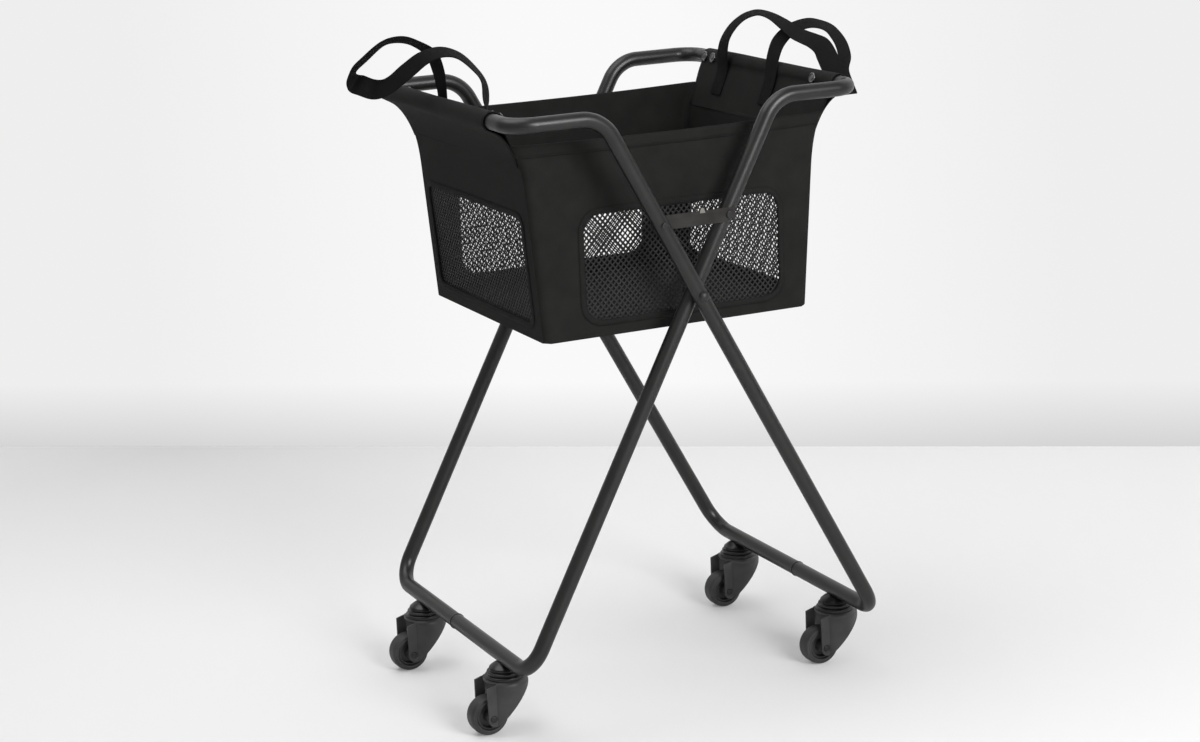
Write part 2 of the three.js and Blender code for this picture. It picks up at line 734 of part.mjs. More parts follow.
// Straps. Each row gives the route by shares: how far outwards of the bar (of strap_reach), along
// the bar (of loop_half_width), above it (of strap_height), and which way the webbing's width lies.
const strap_left_shares = [
  [-0.17, 0.1, 0.17, 0.12, 0.99, 0.09],
  [-0.14, 0.09, 0.44, 0.13, 0.99, -0.02],
  [-0.05, 0.1, 0.7, 0.14, 0.96, -0.25],
  [0.14, 0.13, 0.91, -0.03, 0.91, -0.4],
  [0.37, 0.16, 1, -0.5, 0.74, -0.45],
  [0.6, 0.24, 0.92, -0.82, 0.55, -0.16],
  [0.78, 0.34, 0.74, -0.87, 0.48, 0.12],
  [0.88, 0.46, 0.52, -0.6, 0.5, 0.5],
  [0.92, 0.5, 0.33, -0.3, 0.3, 0.88],
  [0.91, 0.36, 0.27, -0.3, 0.15, 0.92],
  [0.85, 0.2, 0.25, -0.25, 0.2, 0.92],
  [0.74, 0.13, 0.29, -0.05, 0.45, 0.89],
  [0.6, 0.1, 0.38, 0.12, 0.79, 0.61],
  [0.37, 0.08, 0.53, -0.05, 0.84, 0.54],
  [0.19, 0.01, 0.72, -0.28, 0.67, 0.69],
  [0.05, -0.07, 0.81, -0.73, 0.47, 0.49],
  [-0.03, -0.15, 0.81, -0.95, 0.24, 0.22],
  [-0.09, -0.26, 0.79, -0.98, 0.17, -0.09],
  [-0.13, -0.36, 0.73, -0.86, 0.27, -0.42],
  [-0.16, -0.46, 0.59, -0.69, 0.5, -0.52],
  [-0.17, -0.53, 0.36, -0.5, 0.8, -0.3],
];
const strap_right_shares = [
  [-0.19, 0.52, 0.18, 0.17, 0.97, 0.15],
  [-0.16, 0.51, 0.37, 0.35, 0.86, 0.36],
  [-0.12, 0.45, 0.55, 0.6, 0.61, 0.52],
  [-0.05, 0.35, 0.73, 0.79, 0.4, 0.47],
  [0.02, 0.23, 0.83, 0.95, 0.19, 0.24],
  [0.08, 0.08, 0.83, 0.99, 0.12, 0.04],
  [0.12, -0.03, 0.73, 0.99, 0.13, -0.04],
  [0.15, -0.12, 0.64, 0.99, 0.09, 0.1],
  [0.19, -0.22, 0.58, 0.97, 0.08, 0.23],
  [0.23, -0.33, 0.52, 0.96, 0.06, 0.29],
  [0.27, -0.42, 0.44, 0.96, -0.02, 0.29],
  [0.29, -0.5, 0.31, 0.93, -0.16, 0.32],
  [0.31, -0.55, 0.16, 0.93, -0.2, 0.31],
  [0.35, -0.61, -0.03, 0.98, -0.1, 0.2],
  [0.4, -0.66, -0.18, 0.98, 0.1, 0.1],
  [0.52, -0.64, -0.14, 0.95, 0.2, -0.2],
  [0.63, -0.58, 0.03, 0.87, 0.18, -0.46],
  [0.7, -0.5, 0.24, 0.9, 0.2, -0.4],
  [0.72, -0.42, 0.41, 0.93, 0.2, -0.3],
  [0.71, -0.32, 0.57, 0.97, 0.16, -0.18],
  [0.66, -0.21, 0.67, 0.98, 0.17, -0.02],
  [0.56, -0.1, 0.7, 0.91, 0.27, 0.32],
  [0.47, -0.01, 0.66, 0.57, 0.63, 0.52],
  [0.33, 0.02, 0.54, 0.2, 0.95, 0.2],
  [0.1, -0.02, 0.44, -0.2, 0.95, -0.15],
  [-0.09, -0.08, 0.32, -0.3, 0.9, -0.25],
  [-0.19, -0.11, 0.16, -0.1, 0.97, -0.1],
];

// The webbing starts and ends flat against the sleeve's inner face.
function strapRoot(y, side) {
  const depth = bar_z - strap_root_drop;
  const share = strap_root_drop / hem_drop;
  const face = top_half_length - sleeve_r + (hem_inner_x - top_half_length + sleeve_r) * share;
  const off = 1.5 * seat_gap + strap_t / 2;
  return { at: new THREE.Vector3(side * (face - off), y, depth), across: axes.y.clone() };
}

function strapRoute(side, shares) {
  const knots = shares.map(([out, along, up, wx, wy, wz]) => ({
    at: new THREE.Vector3(
      side * (top_half_length + out * strap_reach), along * loop_half_width, bar_z + up * strap_height),
    across: new THREE.Vector3(side * wx, wy, wz),
  }));
  const first = strapRoot(knots[0].at.y, side);
  const last = strapRoot(knots.at(-1).at.y, side);
  return [first, ...knots, last];
}

function ribbon(knots) {
  const route = new THREE.CatmullRomCurve3(knots.map((knot) => knot.at), false, "centripetal");
  const widths = new THREE.CatmullRomCurve3(knots.map((knot) => knot.across), false, "catmullrom");
  const positions = [];
  const index = [];
  const [w, t] = [strap_w / 2, strap_t / 2];
  for (let i = 0; i <= strap_samples; i++) {
    const share = i / strap_samples;
    const at = route.getPoint(share);
    const heading = route.getTangent(share);
    const across = widths.getPoint(share);
    across.addScaledVector(heading, -across.dot(heading)).normalize();
    const face = heading.clone().cross(across);
    for (const [a, f] of [[w, -t], [w, t], [-w, t], [-w, -t]]) {
      positions.push(...at.clone().addScaledVector(across, a).addScaledVector(face, f).toArray());
    }
  }
  for (let i = 0; i < strap_samples; i++) {
    const here = (k) => 4 * i + (k % 4);
    const next = (k) => 4 * (i + 1) + (k % 4);
    for (let k = 0; k < 4; k++) {
      index.push(here(k), here(k + 1), next(k), here(k + 1), next(k + 1), next(k));
    }
  }
  const end = 4 * strap_samples;
  index.push(0, 2, 1, 0, 3, 2, end, end + 1, end + 2, end, end + 2, end + 3);
  const geometry = new THREE.BufferGeometry();
  geometry.setAttribute("position", new THREE.Float32BufferAttribute(positions, 3));
  geometry.setIndex(index);
  geometry.computeVertexNormals();
  return geometry;
}

function addBasket(cart) {
  const basket = new THREE.Group();
  piece("basket_front_panel", sideWall(front_y, 1, window_shift), cloth, basket);
  piece("basket_back_panel", sideWall(back_y, -1, -window_shift), cloth, basket);
  piece("basket_left_panel", endWall(-1), cloth, basket);
  piece("basket_right_panel", endWall(1), cloth, basket);
  piece("basket_floor", basketFloor(), cloth, basket);
  piece("front_window_net", sideNet(front_y, 1, window_shift), mesh_cloth, basket);
  piece("back_window_net", sideNet(back_y, -1, -window_shift), mesh_cloth, basket);
  piece("left_window_net", endNet(-1), mesh_cloth, basket);
  piece("right_window_net", endNet(1), mesh_cloth, basket);
  piece("left_bar_sleeve", sleeve(-1), cloth, basket);
  piece("right_bar_sleeve", sleeve(1), cloth, basket);
  piece("left_carry_strap", ribbon(strapRoute(-1, strap_left_shares)), webbing, basket);
  piece("right_carry_strap", ribbon(strapRoute(1, strap_right_shares)), webbing, basket);
  cart.add(basket);
}

const cart = new THREE.Group();
piece("right_base_frame", frameLoop(1), paint, cart);
piece("left_base_frame", frameLoop(-1), paint, cart);
addPivots(cart);
addLatch(cart);
addCasters(cart);
addBasket(cart);

export default cart;
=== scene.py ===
import math

import bmesh
import bpy
from mathutils import Matrix, Vector


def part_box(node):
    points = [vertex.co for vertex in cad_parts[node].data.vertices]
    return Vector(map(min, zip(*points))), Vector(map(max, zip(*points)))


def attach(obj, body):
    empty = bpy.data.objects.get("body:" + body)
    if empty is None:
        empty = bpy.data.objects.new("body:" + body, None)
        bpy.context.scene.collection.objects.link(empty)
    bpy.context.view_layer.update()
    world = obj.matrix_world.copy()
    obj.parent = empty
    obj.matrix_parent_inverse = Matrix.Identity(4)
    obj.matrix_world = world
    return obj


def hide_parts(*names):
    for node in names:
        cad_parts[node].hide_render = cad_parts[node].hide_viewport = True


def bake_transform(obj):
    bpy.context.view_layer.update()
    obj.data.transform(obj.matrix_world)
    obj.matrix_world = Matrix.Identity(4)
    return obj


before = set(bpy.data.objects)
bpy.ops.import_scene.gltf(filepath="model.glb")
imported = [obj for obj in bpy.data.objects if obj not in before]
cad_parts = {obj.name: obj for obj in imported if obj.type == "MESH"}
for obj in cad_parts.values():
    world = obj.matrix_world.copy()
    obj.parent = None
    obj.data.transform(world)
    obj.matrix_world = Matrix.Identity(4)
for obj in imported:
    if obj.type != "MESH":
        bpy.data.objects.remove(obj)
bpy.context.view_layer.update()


# Frame loops. Each is one steel tube, bent to a closed loop of base bar, two long legs and top bar
# and welded where its ends meet in the base bar. Both are powder coated in satin black.
tube_radius = 0.011
tube_sides = 40
bend_step = math.radians(4)
base_bend = 0.040
leg_bend = 0.052
top_bend = 0.034
weld_along = 0.030
weld_rises = (-0.0006, 0.0008, 0.0011, 0.0008, -0.0006)
weld_step = 0.0012


def middle(node):
    low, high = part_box(node)
    return (low + high) / 2


left_low, left_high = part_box("left_base_frame")
base_z = left_low.z + tube_radius
bar_z = left_high.z - tube_radius
base_half = -left_low.x - tube_radius
bar_half = left_high.x - tube_radius
pivot_z = middle("pivot_washer_front").z
lean = base_half / (pivot_z - base_z)


def added(nodes, kind, **values):
    """A new shader node with its inputs set; an underscore in a name stands for a space."""
    made = nodes.new(kind)
    for name, value in values.items():
        made.inputs[name.replace("_", " ")].default_value = value
    return made


def coated(name, colour, rough, drift, grain, relief, metal=0.0, gloss=0.5):
    """A painted, moulded or plated surface: its tone and sheen drift, over a fine grain."""
    made = bpy.data.materials.new(name)
    made.use_nodes = True
    nodes, links = made.node_tree.nodes, made.node_tree.links
    shader = nodes["Principled BSDF"]
    shader.inputs["Metallic"].default_value = metal
    shader.inputs["Specular IOR Level"].default_value = gloss
    place = nodes.new("ShaderNodeTexCoord").outputs["Object"]
    clouds = added(nodes, "ShaderNodeTexNoise", Scale=35, Detail=5)
    links.new(place, clouds.inputs["Vector"])
    tone = nodes.new("ShaderNodeValToRGB")
    for stop, at, level in zip(tone.color_ramp.elements, (0.3, 0.7), (1 - drift, 1 + drift)):
        stop.position = at
        stop.color = [*(c * level for c in colour), 1]
    links.new(clouds.outputs["Fac"], tone.inputs["Fac"])
    links.new(tone.outputs["Color"], shader.inputs["Base Color"])
    low, high = rough * (1 - drift / 2), rough * (1 + drift / 2)
    sheen = added(nodes, "ShaderNodeMapRange", To_Min=low, To_Max=high)
    links.new(clouds.outputs["Fac"], sheen.inputs["Value"])
    links.new(sheen.outputs["Result"], shader.inputs["Roughness"])
    speckle = added(nodes, "ShaderNodeTexNoise", Scale=grain, Detail=3)
    links.new(place, speckle.inputs["Vector"])
    bump = added(nodes, "ShaderNodeBump", Strength=relief, Distance=0.0002)
    links.new(speckle.outputs["Fac"], bump.inputs["Height"])
    links.new(bump.outputs["Normal"], shader.inputs["Normal"])
    return made


def placed(name, mesh, material, crease=38, merge=1e-6, turn_out=True):
    """The mesh as a piece, with doubled points merged and shaded smooth between its creases."""
    work = bmesh.new()
    work.from_mesh(mesh)
    bmesh.ops.remove_doubles(work, verts=work.verts, dist=merge)
    if turn_out:
        bmesh.ops.recalc_face_normals(work, faces=work.faces)
    work.to_mesh(mesh)
    work.free()
    mesh.shade_smooth()
    mesh.set_sharp_from_angle(angle=math.radians(crease))
    mesh.materials.clear()
    mesh.materials.append(material)
    made = bpy.data.objects.new(name, mesh)
    bpy.context.scene.collection.objects.link(made)
    return made


def mesh_piece(name, points, faces, material, uvs=None, crease=38):
    """A piece from points and faces; its uvs are places on the uncut cloth, in metres."""
    mesh = bpy.data.meshes.new(name)
    mesh.from_pydata([tuple(p) for p in points], [], faces)
    if uvs:
        layer = mesh.uv_layers.new(name="cut")
        for loop in mesh.loops:
            layer.data[loop.index].uv = uvs[loop.vertex_index]
    return placed(name, mesh, material, crease)


def grid_faces(rows, columns, close_rows=False, close_columns=False):
    """Quads between rows of points that are listed one row after another."""
    faces = []
    for i in range(rows if close_rows else rows - 1):
        for k in range(columns if close_columns else columns - 1):
            a, b = i * columns + k, i * columns + (k + 1) % columns
            c, d = (i + 1) % rows * columns + (k + 1) % columns, (i + 1) % rows * columns + k
            faces.append((a, b, c, d))
    return faces


def fit(piece, body, slot, *nodes):
    """The piece rides on its body and stands for the solids named; its slot is not used."""
    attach(piece, body)
    if nodes:
        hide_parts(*nodes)


def rounded_route(corners):
    """Points and headings along a closed route of straight runs and round bends."""
    route = []
    for i, (at, bend) in enumerate(corners):
        arriving = (at - corners[i - 1][0]).normalized()
        leaving = (corners[(i + 1) % len(corners)][0] - at).normalized()
        turn = arriving.angle(leaving)
        axis = arriving.cross(leaving).normalized()
        inward = axis.cross(arriving)
        centre = at - arriving * bend * math.tan(turn / 2) + inward * bend
        steps = math.ceil(turn / bend_step)
        for k in range(steps + 1):
            bent = Matrix.Rotation(turn * k / steps, 3, axis)
            route.append((centre - bent @ inward * bend, bent @ arriving))
    return route


def loop_tube(name, side, body, node):
    """A frame loop; side is +1 where the base bar is at +X."""
    low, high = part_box(node)
    near, far = low.y + tube_radius, high.y - tube_radius
    bend_x = lean * (bar_z - pivot_z)
    route = rounded_route([
        (Vector((side * base_half, far, base_z)), base_bend),
        (Vector((-side * bend_x, far, bar_z)), leg_bend),
        (Vector((-side * bar_half, far, bar_z)), top_bend),
        (Vector((-side * bar_half, near, bar_z)), top_bend),
        (Vector((-side * bend_x, near, bar_z)), leg_bend),
        (Vector((side * base_half, near, base_z)), base_bend),
    ])
    points = []
    spoke = Vector((0, 0, 1)).cross(route[0][1]).normalized()
    spokes = []
    for i, (at, heading) in enumerate(route):
        if i:
            spoke = route[i - 1][1].rotation_difference(heading) @ spoke
        spokes.append(spoke.copy())
    home = route[-1][1].rotation_difference(route[0][1]) @ spoke
    slip = spokes[0].angle(home)
    if home.cross(spokes[0]).dot(route[0][1]) < 0:
        slip = -slip
    for i, (at, heading) in enumerate(route):
        even = Matrix.Rotation(slip * (i + 1) / len(route), 3, heading)
        for k in range(tube_sides):
            around = Matrix.Rotation(2 * math.pi * k / tube_sides, 3, heading)
            points.append(at + around @ even @ spokes[i] * tube_radius)
    faces = grid_faces(len(route), tube_sides, True, True)
    fit(mesh_piece(name, points, faces, frame_paint), body, "frame_paint", node)


def turned(name, profile, centre, axis, material, steps=56, ring=False):
    """A piece turned about Y or Z; its profile lists (radius, place along the axis)."""
    points = []
    for radius, along in profile:
        for k in range(steps):
            angle = 2 * math.pi * k / steps
            u, v = radius * math.cos(angle), radius * math.sin(angle)
            points.append(centre + Vector((u, along, v) if axis == "Y" else (u, v, along)))
    faces = grid_faces(len(profile), steps, ring, True)
    return mesh_piece(name, points, faces, material)


frame_paint = coated("frame_paint", (0.011, 0.0105, 0.010), 0.36, 0.18, 1400, 0.25)
weld_bead = [(tube_radius + rise, weld_step * (k - 2)) for k, rise in enumerate(weld_rises)]
for end, side in (("right", 1), ("left", -1)):
    loop_tube(f"{end}_frame_tube", side, f"{end}_frame", f"{end}_base_frame")
    weld_at = Vector((side * base_half, -side * weld_along, base_z))
    bead = turned(f"{end}_frame_weld", weld_bead, weld_at, "Y", frame_paint, tube_sides, True)
    fit(bead, f"{end}_frame", "frame_paint")


# Pivot bolts. A domed bolt passes both legs at each crossing, with a washer between the legs and
# a hexagon nut on the inner side. They are steel with a black finish.
bolt_radius = 0.004
bolt_head_radius = 0.0075
bolt_head_height = 0.005
bolt_edge = 0.0006
dome_steps = 12
washer_radius = 0.010
washer_bore = bolt_radius + 0.0003
washer_edge = 0.0004
nut_flats = 0.013
nut_edge = 0.0008


def softened(points, radius, closed=True, steps=4):
    """An outline with its corners rounded off."""
    made = []
    for i, corner in enumerate(points):
        here = Vector(corner)
        if not closed and i in (0, len(points) - 1):
            made.append(here)
            continue
        back = Vector(points[i - 1]) - here
        ahead = Vector(points[(i + 1) % len(points)]) - here
        cut = min(radius, 0.45 * back.length, 0.45 * ahead.length)
        start, end = here + back.normalized() * cut, here + ahead.normalized() * cut
        for k in range(steps + 1):
            s = k / steps
            made.append(start * (1 - s) ** 2 + here * 2 * s * (1 - s) + end * s ** 2)
    return made


def settle(piece):
    """Makes the piece's modifiers part of its mesh."""
    bpy.context.view_layer.update()
    shown = piece.evaluated_get(bpy.context.evaluated_depsgraph_get())
    piece.data = bpy.data.meshes.new_from_object(shown)
    piece.modifiers.clear()
    return piece


def edged(piece, width, segments, angle):
    """Rounds the edges that are sharper than an angle."""
    bevel = piece.modifiers.new("edge", "BEVEL")
    bevel.width = width
    bevel.segments = segments
    bevel.limit_method = "ANGLE"
    bevel.angle_limit = math.radians(angle)
    return settle(piece)


def prism(name, outline, low, high, centre, material, edge):
    """A flat outline in X and Z, pulled along Y between two places, with softened edges."""
    count = len(outline)
    points = [centre + Vector((u, y, v)) for y in (low, high) for u, v in outline]
    faces = [tuple(range(count)), tuple(range(2 * count - 1, count - 1, -1))]
    faces += [(k, (k + 1) % count, count + (k + 1) % count, count + k) for k in range(count)]
    return edged(mesh_piece(name, points, faces, material), edge, 3, 40)


def regular(count, radius):
    """The corners of a regular outline."""
    angles = [2 * math.pi * k / count for k in range(count)]
    return [(radius * math.cos(angle), radius * math.sin(angle)) for angle in angles]


def hexagon(flats):
    return regular(6, flats / 2 / math.cos(math.pi / 6))


black_steel = coated("black_steel", (0.013, 0.013, 0.0135), 0.4, 0.3, 1100, 0.25, gloss=0.4)
for place, out in (("front", -1), ("back", 1)):
    low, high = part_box(f"pivot_bolt_{place}")
    centre = Vector((0, 0, pivot_z))
    head_face = (low.y if out < 0 else high.y) - out * bolt_head_height
    shank_end = high.y if out < 0 else low.y
    profile = [(0.0, shank_end), (bolt_radius, shank_end), (bolt_radius, head_face),
               (bolt_head_radius, head_face)]
    for k in range(dome_steps + 1):
        climb = math.pi / 2 * k / dome_steps
        rise = out * bolt_head_height * math.sin(climb)
        profile.append((bolt_head_radius * math.cos(climb), head_face + rise))
    profile = softened(profile[::-1], bolt_edge, False, 2)
    bolt = turned(f"pivot_bolt_{place}_domed", profile, centre, "Y", black_steel)
    fit(bolt, "right_frame", "steel", f"pivot_bolt_{place}")
    low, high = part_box(f"pivot_washer_{place}")
    ring = softened([(washer_bore, low.y), (washer_radius, low.y), (washer_radius, high.y),
                     (washer_bore, high.y)], washer_edge)
    washer = turned(f"pivot_washer_{place}_ring", ring, centre, "Y", black_steel, ring=True)
    fit(washer, "right_frame", "steel", f"pivot_washer_{place}")
    low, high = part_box(f"pivot_nut_{place}")
    nut = prism(f"pivot_nut_{place}_hexagon", hexagon(nut_flats), low.y, high.y, centre, black_steel,
                nut_edge)
    fit(nut, "right_frame", "steel", f"pivot_nut_{place}")


# Latch. A flat steel strip is riveted to one front leg, and its open slot drops over a headed pin on
# the other leg. A small thumb tab on its upper edge lifts it off. It is dull black, with a pale painted
# highlight on the tab.
latch_half = 0.0100
latch_past_pin = 0.009
latch_corner = 0.003
pin_slot_half = 0.0036
pin_slot_lip = 0.0012
rivet_hole = 0.0033
tab_share = 0.617
tab_rise = 0.0042
tab_half_foot = 0.0045
tab_half_top = 0.0022
tab_corner = 0.0012
highlight_half_foot = 0.0044
highlight_drop = 0.0030
highlight_below_top = 0.0003
highlight_front, highlight_back = -0.0012, 0.0004
latch_edge = 0.0003
head_radius = 0.0055
head_thick = 0.002
head_corner = 0.0012
shank_radius = 0.003


def fill_piece(name, outlines, half, centre, material, edge):
    """A plate cut to outlines in X and Z, its holes among them, with rounded edges."""
    curve = bpy.data.curves.new(name, "CURVE")
    curve.dimensions = "2D"
    curve.fill_mode = "BOTH"
    curve.extrude = half - edge
    curve.bevel_depth = edge
    curve.bevel_resolution = 2
    curve.offset = -edge
    for outline in outlines:
        spline = curve.splines.new("POLY")
        spline.points.add(len(outline) - 1)
        for point, (u, v) in zip(spline.points, outline):
            point.co = (u, v, 0, 1)
        spline.use_cyclic_u = True
    flat = bpy.data.objects.new(name + "_outline", curve)
    bpy.context.scene.collection.objects.link(flat)
    bpy.context.view_layer.update()
    mesh = bpy.data.meshes.new_from_object(flat.evaluated_get(bpy.context.evaluated_depsgraph_get()))
    bpy.data.objects.remove(flat)
    mesh.transform(Matrix.Translation(centre) @ Matrix.Rotation(math.pi / 2, 4, "X"))
    return placed(name, mesh, material, merge=2e-6, turn_out=False)


def arc(u, v, radius, start, end, steps=12):
    angles = [math.radians(start + (end - start) * k / steps) for k in range(steps + 1)]
    return [(u + radius * math.cos(angle), v + radius * math.sin(angle)) for angle in angles]


latch_steel = coated("latch_steel", (0.032, 0.030, 0.029), 0.65, 0.3, 1000, 0.3, gloss=0.12)
# Pale steel for the tab: a painted highlight where the bent lug catches the light.
painted_highlight_steel = coated("painted_highlight_steel", (0.20, 0.195, 0.17), 0.5, 0.3, 900, 0.3, metal=0.3)
rivet_at = middle("latch_rivet")
plate_at = middle("latch_plate")
plate_low, plate_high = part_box("latch_plate")
span = middle("latch_pin").x - rivet_at.x
end_u = span + latch_past_pin - latch_corner
tab_u = span * tab_share
tab_z = latch_half + tab_rise
plate_outline = (
    arc(0, 0, latch_half, 270, 90)
    + softened([(tab_u - tab_half_foot, latch_half), (tab_u - tab_half_top, tab_z),
                (tab_u + tab_half_top, tab_z), (tab_u + tab_half_foot, latch_half)], tab_corner)
    + arc(end_u, latch_half - latch_corner, latch_corner, 90, 0, 5)
    + arc(end_u, -latch_half + latch_corner, latch_corner, 0, -90, 5)
    + [(span + pin_slot_half + pin_slot_lip, -latch_half)] + arc(span, 0, pin_slot_half, 0, 180)
    + [(span - pin_slot_half, -latch_half)]
)
plate_centre = Vector((rivet_at.x, plate_at.y, rivet_at.z))
plate = fill_piece("latch_plate_strip", [plate_outline, regular(24, rivet_hole)],
                   (plate_high.y - plate_low.y) / 2, plate_centre, latch_steel, latch_edge)
fit(plate, "latch", "steel", "latch_plate")
# A pale patch over the tab, painted as the highlight on the lug.
highlight_top = tab_rise - highlight_below_top
highlight_outline = softened([(-highlight_half_foot, -highlight_drop), (highlight_half_foot, -highlight_drop),
                         (tab_half_top, highlight_top), (-tab_half_top, highlight_top)], tab_corner)
tab_at = Vector((rivet_at.x + tab_u, plate_low.y, rivet_at.z + latch_half))
tab = prism("latch_tab_painted_highlight", highlight_outline, highlight_front, highlight_back, tab_at, painted_highlight_steel, latch_edge)
fit(tab, "latch", "steel")
for node, body in (("latch_rivet", "right_frame"), ("latch_pin", "left_frame")):
    low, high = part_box(node)
    centre = Vector((middle(node).x, 0, middle(node).z))
    profile = [(0.0, low.y), (head_radius, low.y), (head_radius, low.y + head_thick),
               (shank_radius, low.y + head_thick), (shank_radius, high.y - head_thick),
               (head_radius, high.y - head_thick), (head_radius, high.y), (0.0, high.y)]
    headed = turned(f"{node}_headed", softened(profile, head_corner, False), centre, "Y", black_steel)
    fit(headed, body, "steel", node)


# Casters. A domed saddle under the base bar carries a ridged race, and a fork pressed as a horn turns
# under it. The tyre sits on a moulded hub that runs on a bolt through the two flat ears.
wheel_radius = 0.0285
wheel_half = 0.0135
tyre_thick = 0.009
trail = 0.029
crown_radius = 0.031
crown_roll = 0.004
crown_rings = (0.6, 0.33)
ear_half = 0.0215
ear_back = 0.037
ear_shoulder = -0.026
ear_slant = 0.3
sheet = 0.0025
sheet_edge = 0.0005
fork_top = 0.078
nose_radius = 0.011
nose_at = (-0.026, 0.0275)
toe_angle = math.radians(320)
front_toe = (nose_at[0] + nose_radius * math.cos(toe_angle), nose_at[1] + nose_radius * math.sin(toe_angle))
front_waist = (0.0055, 0.0495)
front_top = (crown_radius, 0.0755)
race_gap = 0.0003
race_corner = 0.0012
saddle_corner = 0.002
# Radius, and height as a share of the piece's own.
race_steps = ((0.0, 0.0), (0.024, 0.0), (0.0272, 0.04), (0.028, 0.14), (0.028, 0.34), (0.0272, 0.42),
              (0.0243, 0.46), (0.0238, 0.49), (0.025, 0.55), (0.025, 0.69), (0.0242, 0.75), (0.0212, 0.79),
              (0.0208, 0.82), (0.022, 0.88), (0.0218, 0.96), (0.0205, 1.0), (0.0, 1.0))
saddle_steps = ((0.0, 0.0), (0.0215, 0.0), (0.0212, 0.08), (0.0195, 0.23), (0.0155, 0.54), (0.012, 0.74),
                (0.008, 1.0), (0.0, 1.0))
hub_bore = 0.0043
hub_gap = 0.0003
hub_inset = 0.003
hub_corner = 0.001
boss_radius = 0.008
boss_slope = 0.0005
boss_end = 0.0187
web_half = 0.004
rim_thick_inside = 0.003
rim_thick_outside = 0.0025
tyre_corner = 0.0012
axle_head = 0.0055
axle_head_thick = 0.004
axle_crown_in = 0.0013
axle_crown_rise = 0.0016
axle_radius = 0.004
axle_edge = 0.0006


def fork_front(t, part):
    """The curve of the fork's front edge, from its toe past its waist up to the crown."""
    return (1 - t) ** 2 * front_toe[part] + 2 * t * (1 - t) * front_waist[part] + t * t * front_top[part]


def fork_foot(x):
    """The height of the fork's lower edge at a place along it."""
    if x <= front_toe[0]:
        return nose_at[1] - math.sqrt(max(0.0, nose_radius ** 2 - (x - nose_at[0]) ** 2))
    low, high = 0.0, 1.0
    for _ in range(30):
        t = (low + high) / 2
        low, high = (t, high) if fork_front(t, 0) < x else (low, t)
    return fork_front(t, 1)


def fork_head(x):
    """The height of the fork's upper edge, which slants down along the ears."""
    return fork_top - max(0.0, ear_shoulder - x) * ear_slant


def thickened(piece, thick, offset=-1):
    """Gives a sheet its thickness, behind its face unless the offset says otherwise."""
    ply = piece.modifiers.new("sheet", "SOLIDIFY")
    ply.thickness = thick
    ply.offset = offset
    return piece


def horn(name, at):
    """The pressed fork: flat ears, a round wall, and a crown rolled over at its top."""
    meet = math.pi - math.asin(ear_half / crown_radius)
    meet_x = crown_radius * math.cos(meet)
    ear_steps, wall_steps, rise_steps, roll_steps, back_steps = 14, 48, 14, 4, 14
    ear_shares = [(k / ear_steps) ** 2 for k in range(ear_steps)]
    path = [(-ear_back + (meet_x + ear_back) * share, ear_half, 0.0) for share in ear_shares]
    for k in range(wall_steps + 1):
        angle = meet - 2 * meet * k / wall_steps
        rolled = min(1, min(k, wall_steps - k) / 3)
        path.append((crown_radius * math.cos(angle), crown_radius * math.sin(angle), rolled))
    path += [(x, -y, rolled) for x, y, rolled in path[:ear_steps][::-1]]
    columns = len(path)
    points = []
    for k in range(rise_steps + 1):
        for x, y, rolled in path:
            foot = fork_foot(x)
            points.append((x, y, foot + (fork_head(x) - crown_roll - foot) * k / rise_steps))
    for k in range(1, roll_steps + 1):
        angle = math.pi / 2 * k / roll_steps
        for x, y, rolled in path:
            inward = 1 - rolled * crown_roll * (1 - math.cos(angle)) / crown_radius
            points.append((x * inward, y * inward, fork_head(x) - crown_roll * (1 - math.sin(angle))))
    rows = rise_steps + roll_steps + 1
    faces = grid_faces(rows, columns)
    rim_start = (rows - 1) * columns + ear_steps
    rim = list(range(rim_start, rim_start + wall_steps + 1))
    for k in range(1, back_steps):
        angle = -meet - 2 * (math.pi - meet) * k / back_steps
        points.append((crown_radius * math.cos(angle), crown_radius * math.sin(angle), fork_top))
        rim.append(len(points) - 1)
    for shrink in crown_rings:
        inner = []
        for index in rim:
            x, y, _ = points[index]
            points.append((x * shrink, y * shrink, fork_top))
            inner.append(len(points) - 1)
        for k in range(len(rim)):
            after = (k + 1) % len(rim)
            faces.append((rim[k], rim[after], inner[after], inner[k]))
        rim = inner
    made = mesh_piece(name, [at + Vector(p) for p in points], faces, caster_paint)
    if made.data.polygons[rise_steps // 2 * (columns - 1) + columns // 2].normal.x < 0:
        made.data.flip_normals()
    return edged(thickened(made, sheet), sheet_edge, 2, 50)


def stacked(steps, low, high, corner):
    """A section whose steps fill the space between two heights."""
    return softened([(radius, low + (high - low) * share) for radius, share in steps], corner, False, 3)


def hub_section():
    """Bore, boss, web and rim, the same on both sides of the hub's middle."""
    rim = wheel_radius - tyre_thick - hub_gap
    half = wheel_half - hub_inset
    side = [(hub_bore, boss_end), (boss_radius, boss_end), (boss_radius + boss_slope, web_half),
            (rim - rim_thick_inside, web_half), (rim - rim_thick_outside, half), (rim, half)]
    return softened([(radius, -y) for radius, y in side] + side[::-1], hub_corner, True, 3)


def tyre_section():
    """A crowned tread, round shoulders and a raised ring on each side."""
    inner = wheel_radius - tyre_thick
    steps = ((inner, 0.003), (inner + 0.0012, 0.0004), (inner + 0.0022, 0.0), (inner + 0.0034, 0.0003),
             (inner + 0.004, 0.0014), (inner + 0.0052, 0.0012), (wheel_radius - 0.0026, 0.0016),
             (wheel_radius - 0.0008, 0.0036), (wheel_radius - 0.0001, 0.0072))
    half = [(radius, into - wheel_half) for radius, into in steps]
    return softened(half + [(radius, -y) for radius, y in half[::-1]], tyre_corner, True, 3)


